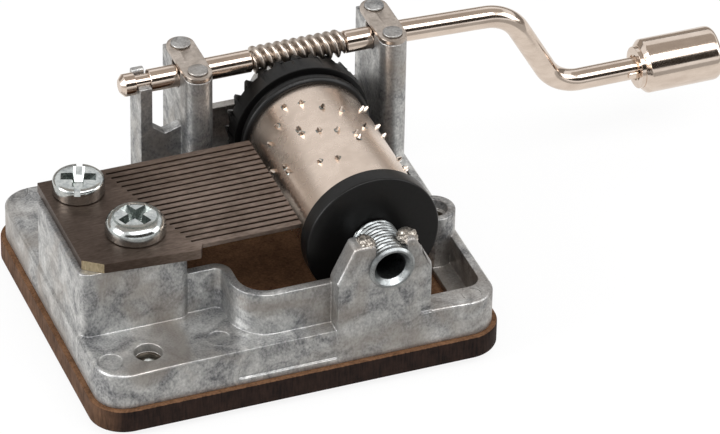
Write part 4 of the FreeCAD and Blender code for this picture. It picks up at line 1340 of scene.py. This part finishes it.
    def tooth_tree(self) -> bpy.types.NodeTree:
        """Builds the tree that sets a tooth round the gear's rim.

        Returns:
            The tree, with named inputs for the ring and the finish.
        """
        tree = named_tree(
            "gear_tooth_ring",
            {
                "Teeth": "NodeSocketInt",
                "First Turn": "NodeSocketFloat",
                "Middle": "NodeSocketVector",
                "Finish": "NodeSocketMaterial",
            },
        )
        given = add_node(tree, "NodeGroupInput").outputs
        spots = add_node(
            tree,
            "GeometryNodeMeshLine",
            {"Count": given["Teeth"], "Start Location": given["Middle"], "Offset": (0, 0, 0)},
        )
        step = add_node(
            tree, "ShaderNodeMath", {0: math.tau, 1: given["Teeth"]}, operation="DIVIDE"
        ).outputs[0]
        place = add_node(tree, "GeometryNodeInputIndex").outputs[0]
        turn = add_node(
            tree, "ShaderNodeMath", {0: place, 1: step, 2: given["First Turn"]}, operation="MULTIPLY_ADD"
        ).outputs[0]
        angles = add_node(tree, "ShaderNodeCombineXYZ", {"Y": turn}).outputs[0]
        turned = add_node(tree, "FunctionNodeEulerToRotation", {0: angles}).outputs[0]
        placed = add_node(
            tree,
            "GeometryNodeInstanceOnPoints",
            {"Points": spots.outputs[0], "Instance": given["Geometry"], "Rotation": turned},
        )
        real = add_node(tree, "GeometryNodeRealizeInstances", {0: placed.outputs[0]})
        dressed = add_node(
            tree, "GeometryNodeSetMaterial", {"Geometry": real.outputs[0], "Material": given["Finish"]}
        )
        add_node(tree, "NodeGroupOutput", {0: dressed.outputs[0]})
        return tree

    def first_turn(self) -> float:
        """Finds where the solid's teeth stand.

        Returns:
            The turn about the axis of one tooth, from straight up.
        """
        pitch = math.tau / self.teeth
        sines, cosines = 0.0, 0.0
        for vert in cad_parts["crown_gear"].data.vertices:
            if vert.co.y > (self.tooth_tip_y - self.tip_band) * MM:
                turn = math.atan2(vert.co.x - self.axis_x * MM, vert.co.z - self.axis_z * MM)
                sines += math.sin(turn / pitch * math.tau)
                cosines += math.cos(turn / pitch * math.tau)
        return math.atan2(sines, cosines) / math.tau * pitch

    def build_teeth(self, finishes: Finishes) -> None:
        """Fills out the gear's teeth to their full moulded flanks.

        Args:
            finishes: The finishes of the movement.
        """
        work = bmesh.new()
        for along, half in ((self.tooth_root_y, self.tooth_root / 2), (self.tooth_tip_y, self.tooth_tip / 2)):
            for out in (self.tooth_inner, self.tooth_outer):
                for side in (-half, half):
                    work.verts.new(Vector((side, along, out)) * MM)
        bmesh.ops.convex_hull(work, input=work.verts)
        bmesh.ops.bevel(
            work,
            geom=list(work.edges),
            offset=self.tooth_edge_mm * MM,
            segments=EDGE_STEPS,
            profile=0.5,
            affect="EDGES",
        )
        teeth = finish_mesh("moulded_gear_teeth", to_mesh("tooth", work), finishes.black)
        self.grow(
            teeth,
            self.tooth_tree(),
            {
                "Teeth": self.teeth,
                "First Turn": self.first_turn(),
                "Middle": [self.axis_x * MM, 0.0, self.axis_z * MM],
                "Finish": finishes.black,
            },
        )
        keep(teeth, Body.CYLINDER, "black_plastic")

    def grow(self, piece: bpy.types.Object, tree: bpy.types.NodeTree, values: dict[str, Any]) -> None:
        """Runs a tree on a piece and keeps the result as its mesh.

        Args:
            piece: The object that the tree starts from.
            tree: The tree.
            values: Its inputs by name.
        """
        grown = piece.modifiers.new(tree.name, "NODES")
        grown.node_group = tree
        for socket in tree.interface.items_tree:
            if socket.in_out == "INPUT" and socket.name in values:
                grown[socket.identifier] = values[socket.name]
        settle(piece)

    def build(self, finishes: Finishes) -> None:
        """Builds the sleeve, its pins and its two moulded ends.

        Args:
            finishes: The finishes of the movement.
        """
        centre = (self.axis_x, 0.0, self.axis_z)
        inner = self.radius - self.wall
        sleeve_profile = round_corners(
            [
                (self.front_y, inner, 0),
                (self.front_y, self.radius, self.sleeve_round),
                (self.rear_y, self.radius, self.sleeve_round),
                (self.rear_y, inner, 0),
            ]
        )
        mesh = lathe(Axis.Y, centre, sleeve_profile, self.sides, closed=True)
        sleeve = finish_mesh("polished_sleeve", mesh, finishes.sleeve)
        keep(sleeve, Body.CYLINDER, "nickel_sleeve", "pinned_cylinder")
        self.build_pins(finishes)
        cap_front = self.front_y - self.cap_thickness
        plug_end, plug = self.front_y + self.plug_depth, inner - self.plug_gap
        cap_profile = round_corners(
            [
                (plug_end, self.cap_bore, 0),
                (cap_front, self.cap_bore, self.bore_round),
                (cap_front, self.cap_radius, self.cap_round),
                (self.front_y, self.cap_radius, self.rear_round),
                (self.front_y, plug, 0),
                (plug_end, plug, 0),
            ]
        )
        mesh = lathe(Axis.Y, centre, cap_profile, self.sides, closed=True)
        cap = finish_mesh("moulded_front_cap", mesh, finishes.black)
        keep(cap, Body.CYLINDER, "black_plastic", "front_cap")
        gear = eased_copy(
            "moulded_crown_gear", "crown_gear", finishes.black, self.gear_edge_mm, self.gear_turn_deg
        )
        keep(gear, Body.CYLINDER, "black_plastic", "crown_gear")
        self.build_teeth(finishes)


@dataclass
class Crank:
    """The bent wire with its worm, and the knob that spins on its end."""

    axis_y: float = 14.35
    axis_z: float = 24.1
    radius: float = 1.365
    tail_x: float = -10.75
    neck_x: float = -8.05
    worm_x: float = 6.7606
    worm_lead: float = 2.0682
    worm_turns: float = 4.5
    worm_margin: float = 1.3
    root: float = 1.0
    crest: float = 1.69
    ridge_half: float = 0.5
    neck: float = 0.95
    bend_x: float = 35.4
    bend_run: float = 12.8
    bend_radius: float = 5.4
    drop: float = 12.2
    sag_x: float = 24.5
    sag_deg: float = 2.2
    knob_x: float = 55.5
    knob_length: float = 10.5
    knob_radius: float = 3.35
    knob_round: float = 0.85
    knob_sides: int = 120
    collar_radius: float = 2.6
    collar_length: float = 0.5
    collar_round: float = 0.12
    shoulder_step: float = 0.12
    shoulder_length: float = 1.1
    shoulder_round: float = 0.2
    fine_round: float = 0.05
    bore_gap: float = 0.06
    bore_depth: float = 7.0
    bore_bevel: float = 0.25
    half_neck: float = 0.9
    neck_bevel: float = 0.06
    tail_cut: float = 0.55
    tail_step: float = 0.4
    tail_nose: float = 0.12
    tail_taper: float = 0.5
    worm_bevel: float = 0.1
    worm_fade: float = 0.35
    worm_rows: int = 260
    bend_rows: int = 28
    wire_end: float = 6.85
    steepest_deg: float = 89.0
    halvings: int = 60
    ear_gap: float = 0.15
    ear_size: tuple[float, float, float] = (1.3, 0.75, 0.9)
    ear_sink: float = 0.025
    ear_round: float = 0.22
    ear_steps: int = 3
    sides: int = 48

    def worm_span(self) -> Point:
        """Where the rolled worm starts and ends along the shaft."""
        end = self.worm_x + self.worm_lead * self.worm_turns
        return self.worm_x - self.worm_margin, end + self.worm_margin

    def worm_radius(self, along: float, turn: float) -> float:
        """The radius of the rolled worm.

        Args:
            along: Distance from the start of its helix.
            turn: The angle about the shaft, from straight down towards the rear.

        Returns:
            The radius there.
        """
        length = self.worm_lead * self.worm_turns
        gap = self.worm_lead / 2
        off = along - gap / 2 - self.worm_lead * turn / math.tau
        near = abs((off + gap / 2) % gap - gap / 2)
        room = min(along + self.worm_margin, length + self.worm_margin - along)
        fade = min(max(room / self.worm_fade, 0.0), 1.0)
        rise = math.cos(min(near / self.ridge_half, 1.0) * math.pi / 2)
        return self.root + (self.crest - self.root) * rise * fade

    def ring(self, x: float, z: float, lean: float, radius: Callable[[float], float]) -> list[Vector]:
        """One ring of the wire.

        Args:
            x: The ring's middle.
            z: Its height.
            lean: How far the wire leans down there.
            radius: The radius at each angle from straight down towards the rear.

        Returns:
            The ring's points in metres.
        """
        points = []
        for step in range(self.sides):
            turn = math.tau * step / self.sides
            out = radius(turn)
            down, back = out * math.cos(turn), out * math.sin(turn)
            spot = (x - down * math.sin(lean), self.axis_y + back, z - down * math.cos(lean))
            points.append(Vector(spot) * MM)
        return points

    def rings(self) -> Iterable[list[Vector]]:
        """Sets out the wire from its tail to the end inside the knob.

        Returns:
            The rings in order.
        """
        neck_start, neck_end = self.neck_x - self.half_neck, self.neck_x + self.half_neck
        worm_start, worm_end = self.worm_span()
        shaft = [
            (self.tail_x, self.radius - self.tail_cut),
            (self.tail_x + self.tail_nose, self.radius - self.tail_step),
            (self.tail_x + self.tail_taper, self.radius),
            (neck_start - self.neck_bevel, self.radius),
            (neck_start, self.radius - self.neck_bevel),
            (neck_start, self.neck),
            (neck_end, self.neck),
            (neck_end, self.radius - self.neck_bevel),
            (neck_end + self.neck_bevel, self.radius),
            (worm_start - self.worm_bevel, self.radius),
            (worm_start, self.radius - self.worm_bevel),
            (worm_start, self.root),
        ]
        after_worm = [
            (worm_end, self.root),
            (worm_end, self.radius - self.worm_bevel),
            (worm_end + self.worm_bevel, self.radius),
        ]
        for x, out in shaft:
            yield self.ring(x, self.axis_z, 0.0, lambda turn, out=out: out)
        for step in range(1, self.worm_rows):
            x = worm_start + (worm_end - worm_start) * step / self.worm_rows
            yield self.ring(x, self.axis_z, 0.0, lambda turn, x=x: self.worm_radius(x - self.worm_x, turn))
        for x, out in after_worm:
            yield self.ring(x, self.axis_z, 0.0, lambda turn, out=out: out)
        yield self.ring(self.sag_x, self.axis_z, 0.0, lambda angle: self.radius)
        sag = math.radians(self.sag_deg)
        sagged_z = self.axis_z - (self.bend_x - self.sag_x) * math.tan(sag)
        end_x, end_z = self.bend_x + self.bend_run, self.axis_z - self.drop
        lean = self.steepest(sag, end_x - self.bend_x, sagged_z - end_z)
        size, bends = self.bend_radius, self.bend_rows
        for step in range(bends + 1):
            turn = sag + (lean - sag) * step / bends
            x = self.bend_x + size * (math.sin(turn) - math.sin(sag))
            z = sagged_z - size * (math.cos(sag) - math.cos(turn))
            yield self.ring(x, z, turn, lambda angle: self.radius)
        for step in range(bends, -1, -1):
            turn = lean * step / bends
            x, z = end_x - size * math.sin(turn), end_z + size * (1 - math.cos(turn))
            yield self.ring(x, z, turn, lambda angle: self.radius)
        yield self.ring(self.knob_x + self.wire_end, end_z, 0.0, lambda angle: self.radius)

    def steepest(self, sag: float, run: float, fall: float) -> float:
        """Finds how steeply the arm leans between its two bends.

        Args:
            sag: How far the wire leans before the first bend.
            run: The distance along the shaft from the first bend to the second.
            fall: The drop between them.

        Returns:
            The lean, in radians.
        """
        low, high = sag, math.radians(self.steepest_deg)
        for _ in range(self.halvings):
            lean = (low + high) / 2
            across = run - self.bend_radius * (2 * math.sin(lean) - math.sin(sag))
            down = fall - self.bend_radius * (math.cos(sag) + 1 - 2 * math.cos(lean))
            if math.atan2(down, across) > lean:
                low = lean
            else:
                high = lean
        return lean

    def build(self, finishes: Finishes) -> None:
        """Builds the wire, its pinched ears and the knob.

        Args:
            finishes: The finishes of the movement.
        """
        rings = list(self.rings())
        middle = sum(rings[0], Vector()) / self.sides
        tip = sum(rings[-1], Vector()) / self.sides
        work = skin([[middle]] + rings + [[tip]], False)
        ear_x = self.knob_x - self.ear_gap - self.ear_size[0] / 2
        size = Matrix.Diagonal((*(part * MM for part in self.ear_size), 1))
        for side in (-1, 1):
            made = bmesh.ops.create_cube(work, size=1.0)["verts"]
            ear_y = self.axis_y + side * (self.radius - self.ear_sink)
            spot = Vector((ear_x, ear_y, self.axis_z - self.drop)) * MM
            bmesh.ops.transform(work, matrix=Matrix.Translation(spot) @ size, verts=made)
            edges = list({edge for vert in made for edge in vert.link_edges})
            bmesh.ops.bevel(
                work,
                geom=edges,
                offset=self.ear_round * MM,
                segments=self.ear_steps,
                profile=0.5,
                affect="EDGES",
            )
        wire = finish_mesh("bent_crank_wire", to_mesh("crank", work), finishes.wire)
        wire.data.materials.append(finishes.strap)
        worm_start, worm_end = self.worm_span()
        for face in wire.data.polygons:
            face.material_index = int(worm_start * MM < face.center.x < worm_end * MM)
        keep(wire, Body.CRANK, "nickel_wire", "crank_shaft")
        start, end = self.knob_x, self.knob_x + self.knob_length
        bore, bore_end = self.radius + self.bore_gap, start + self.bore_depth
        collar_end = start + self.collar_length
        profile = round_corners(
            [
                (bore_end, 0, 0),
                (bore_end, bore, 0),
                (start + self.bore_bevel, bore, 0),
                (start, bore + self.bore_bevel, self.fine_round),
                (start, self.collar_radius, self.collar_round),
                (collar_end, self.collar_radius, 0),
                (collar_end, self.collar_radius + self.shoulder_step, self.fine_round),
                (start + self.shoulder_length, self.knob_radius, self.shoulder_round),
                (end, self.knob_radius, self.knob_round),
                (end, 0, 0),
            ]
        )
        mesh = lathe(Axis.X, (0.0, self.axis_y, self.axis_z - self.drop), profile, self.knob_sides)
        knob = finish_mesh("plated_knob", mesh, finishes.wire)
        keep(knob, Body.KNOB, "nickel_wire", "crank_knob")


@dataclass
class Studio:
    """The camera, the pale floor, the soft lights and the dark cards that metal shows."""

    azimuth_deg: float = 21.370
    elevation_deg: float = 35.510
    roll_deg: float = 1.076
    focal_px: float = 5403.64
    picture_width: float = 720.0
    picture_height: float = 434.0
    origin_u: float = 246.338
    origin_v: float = 295.374
    distance_mm: float = 638.886
    origin_z_mm: float = 1.0
    sensor_mm: float = 36.0
    clip_near: float = 0.01
    clip_far: float = 20.0
    sky_strength: float = 0.55
    floor_tone: str = "#f4f4f4"
    floor_glow: float = 0.88
    floor_drop: float = 0.00005
    floor_side: float = 6.0

    def camera(self) -> None:
        """Sets the camera at the photograph's viewing angle."""
        angles = (self.azimuth_deg, self.elevation_deg, self.roll_deg)
        across, rise, roll = (math.radians(part) for part in angles)
        ahead = Vector(
            (math.sin(across) * math.cos(rise), math.cos(across) * math.cos(rise), -math.sin(rise))
        )
        level = Vector((math.cos(across), -math.sin(across), 0.0))
        upright = level.cross(ahead)
        right = level * math.cos(roll) + upright * math.sin(roll)
        up = upright * math.cos(roll) - level * math.sin(roll)
        scale = self.distance_mm / self.focal_px
        offset = right * (self.origin_u - self.picture_width / 2) * scale
        offset -= up * (self.origin_v - self.picture_height / 2) * scale
        offset += ahead * self.distance_mm
        place = (Vector((0, 0, self.origin_z_mm)) - offset) * MM
        data = bpy.data.cameras.new("photo_camera")
        data.sensor_width = self.sensor_mm
        data.lens = self.focal_px / self.picture_width * data.sensor_width
        data.clip_start = self.clip_near
        data.clip_end = self.clip_far
        camera = bpy.data.objects.new("photo_camera", data)
        camera.matrix_world = Matrix.Translation(place) @ Matrix((right, up, -ahead)).transposed().to_4x4()
        bpy.context.scene.collection.objects.link(camera)
        bpy.context.scene.camera = camera

    def seen(self, tree: bpy.types.NodeTree) -> bpy.types.NodeSocket:
        """The share of rays that see the white background.

        Args:
            tree: The tree of the floor or the world.

        Returns:
            One for camera, glossy and transmission rays.
        """
        path = add_node(tree, "ShaderNodeLightPath").outputs
        first = add_node(
            tree, "ShaderNodeMath", {0: path["Is Camera Ray"], 1: path["Is Glossy Ray"]}, operation="MAXIMUM"
        ).outputs[0]
        return add_node(
            tree, "ShaderNodeMath", {0: first, 1: path["Is Transmission Ray"]}, operation="MAXIMUM"
        ).outputs[0]

    def world(self) -> None:
        """A white world to look at, and a plain soft light from it."""
        world = bpy.data.worlds.new("white_studio")
        bpy.context.scene.world = world
        world.use_nodes = True
        tree = world.node_tree
        tree.nodes.clear()
        strength = add_node(
            tree, "ShaderNodeMapRange", {"Value": self.seen(tree), "To Min": self.sky_strength, "To Max": 1.0}
        ).outputs[0]
        sky = add_node(tree, "ShaderNodeBackground", {"Color": (1, 1, 1, 1), "Strength": strength})
        add_node(tree, "ShaderNodeOutputWorld", {"Surface": sky.outputs[0]})

    def floor(self) -> None:
        """A pale floor that shows white and keeps a soft shadow."""
        material = bpy.data.materials.new("white_paper_floor")
        material.use_nodes = True
        tree = material.node_tree
        tree.nodes.clear()
        paper = add_node(tree, "ShaderNodeBsdfDiffuse", {"Color": linear(self.floor_tone)})
        glow = add_node(tree, "ShaderNodeEmission", {"Color": (1, 1, 1, 1), "Strength": 1.0})
        share = add_node(
            tree, "ShaderNodeMath", {0: self.seen(tree), 1: self.floor_glow}, operation="MULTIPLY"
        ).outputs[0]
        both = add_node(tree, "ShaderNodeMixShader", {0: share, 1: paper.outputs[0], 2: glow.outputs[0]})
        add_node(tree, "ShaderNodeOutputMaterial", {"Surface": both.outputs[0]})
        size = (self.floor_side, self.floor_side)
        self.sheet("floor", material, (0, 0, -self.floor_drop), (0, 0, 1), size, shown=True)

    def sheet(
        self,
        name: str,
        material: bpy.types.Material,
        middle: Sequence[float],
        facing: Sequence[float],
        size: Point,
        shown: bool,
    ) -> None:
        """Adds a flat sheet of the studio.

        Args:
            name: The sheet's name.
            material: Its surface.
            middle: Its middle, in metres.
            facing: The way that it faces.
            size: Its two sides, in metres.
            shown: Whether the camera sees it; a card shows in metal alone.
        """
        turn = Vector(facing).to_track_quat("Z", "Y").to_matrix().to_4x4()
        mesh = bpy.data.meshes.new(name)
        wide, deep = size[0] / 2, size[1] / 2
        corners = [(-wide, -deep, 0), (wide, -deep, 0), (wide, deep, 0), (-wide, deep, 0)]
        mesh.from_pydata(corners, [], [(0, 1, 2, 3)])
        mesh.transform(Matrix.Translation(Vector(middle)) @ turn)
        mesh.materials.append(material)
        sheet = bpy.data.objects.new(name, mesh)
        bpy.context.scene.collection.objects.link(sheet)
        if not shown:
            sheet.visible_camera = False
            sheet.visible_diffuse = False
            sheet.visible_shadow = False
            sheet.visible_transmission = False

    def card(
        self, name: str, tone: str, middle: Sequence[float], facing: Sequence[float], size: Point
    ) -> None:
        """Adds a plain card that only shows in metal, as a studio flag does.

        Args:
            name: The card's name.
            tone: Its colour.
            middle: Its middle, in metres.
            facing: The way that it faces.
            size: Its two sides, in metres.
        """
        material = bpy.data.materials.new(f"{name}_paper")
        material.use_nodes = True
        tree = material.node_tree
        tree.nodes.clear()
        glow = add_node(tree, "ShaderNodeEmission", {"Color": linear(tone), "Strength": 1.0})
        add_node(tree, "ShaderNodeOutputMaterial", {"Surface": glow.outputs[0]})
        self.sheet(name, material, middle, facing, size, shown=False)

    def lamp(
        self, name: str, place: Sequence[float], aim: Sequence[float], size: Point, watts: float
    ) -> None:
        """Adds one soft box.

        Args:
            name: The lamp's name.
            place: Its middle, in metres.
            aim: The point that it faces.
            size: Its two sides, in metres.
            watts: Its power.
        """
        data = bpy.data.lights.new(name, "AREA")
        data.shape = "RECTANGLE"
        data.size, data.size_y = size
        data.energy = watts
        lamp = bpy.data.objects.new(name, data)
        turn = (Vector(aim) - Vector(place)).to_track_quat("-Z", "Y").to_matrix().to_4x4()
        lamp.matrix_world = Matrix.Translation(Vector(place)) @ turn
        bpy.context.scene.collection.objects.link(lamp)

    def build(self) -> None:
        """Sets up the whole studio."""
        self.camera()
        self.world()
        self.floor()
        aim = (0.01, 0.0, 0.012)
        up, down = (0, 0, 1), (0, 0, -1)
        to_rear, to_front, to_left = (0, 1, 0), (0, -1, 0), (-1, 0, 0)
        self.lamp("top_box", place=(0.05, -0.35, 0.6), aim=aim, size=(0.8, 0.3), watts=3.0)
        self.lamp("left_box", place=(-0.6, 0.0, 0.3), aim=aim, size=(0.35, 0.4), watts=2.9)
        self.lamp("right_box", place=(0.6, -0.25, 0.3), aim=aim, size=(0.35, 0.4), watts=1.2)
        self.card("front_table", "#b9b7b4", middle=(0.0, -0.775, -0.00002), facing=up, size=(3.0, 1.5))
        self.card("rear_table", "#f7f5f2", middle=(0.0, 0.725, -0.00002), facing=up, size=(3.0, 1.5))
        self.card("front_card", "#37332f", middle=(0.0, -0.75, 0.47), facing=to_rear, size=(2.4, 0.54))
        self.card("top_card", "#b9b2ab", middle=(0.0, 0.2, 0.95), facing=down, size=(2.4, 0.9))
        self.card("rear_card", "#a29a92", middle=(0.0, 0.8, 0.17), facing=to_front, size=(2.4, 0.34))
        self.card("rear_strip", "#4a4540", middle=(0.0, 0.79, 0.37), facing=to_front, size=(2.4, 0.06))
        self.card("right_card", "#8a8580", middle=(0.85, 0.1, 0.14), facing=to_left, size=(1.4, 0.28))
        bpy.context.scene.view_settings.view_transform = "Standard"


def main() -> None:
    """Builds the movement piece by piece, then the studio round it."""
    logging.basicConfig(level=logging.INFO, format="%(name)s %(message)s")
    finishes = Finishes()
    for assembly in (Base(), Casting(), Comb(), BearingTube(), PinnedCylinder(), Crank()):
        assembly.build(finishes)
    Studio().build()


if __name__ == "__main__":
    main()
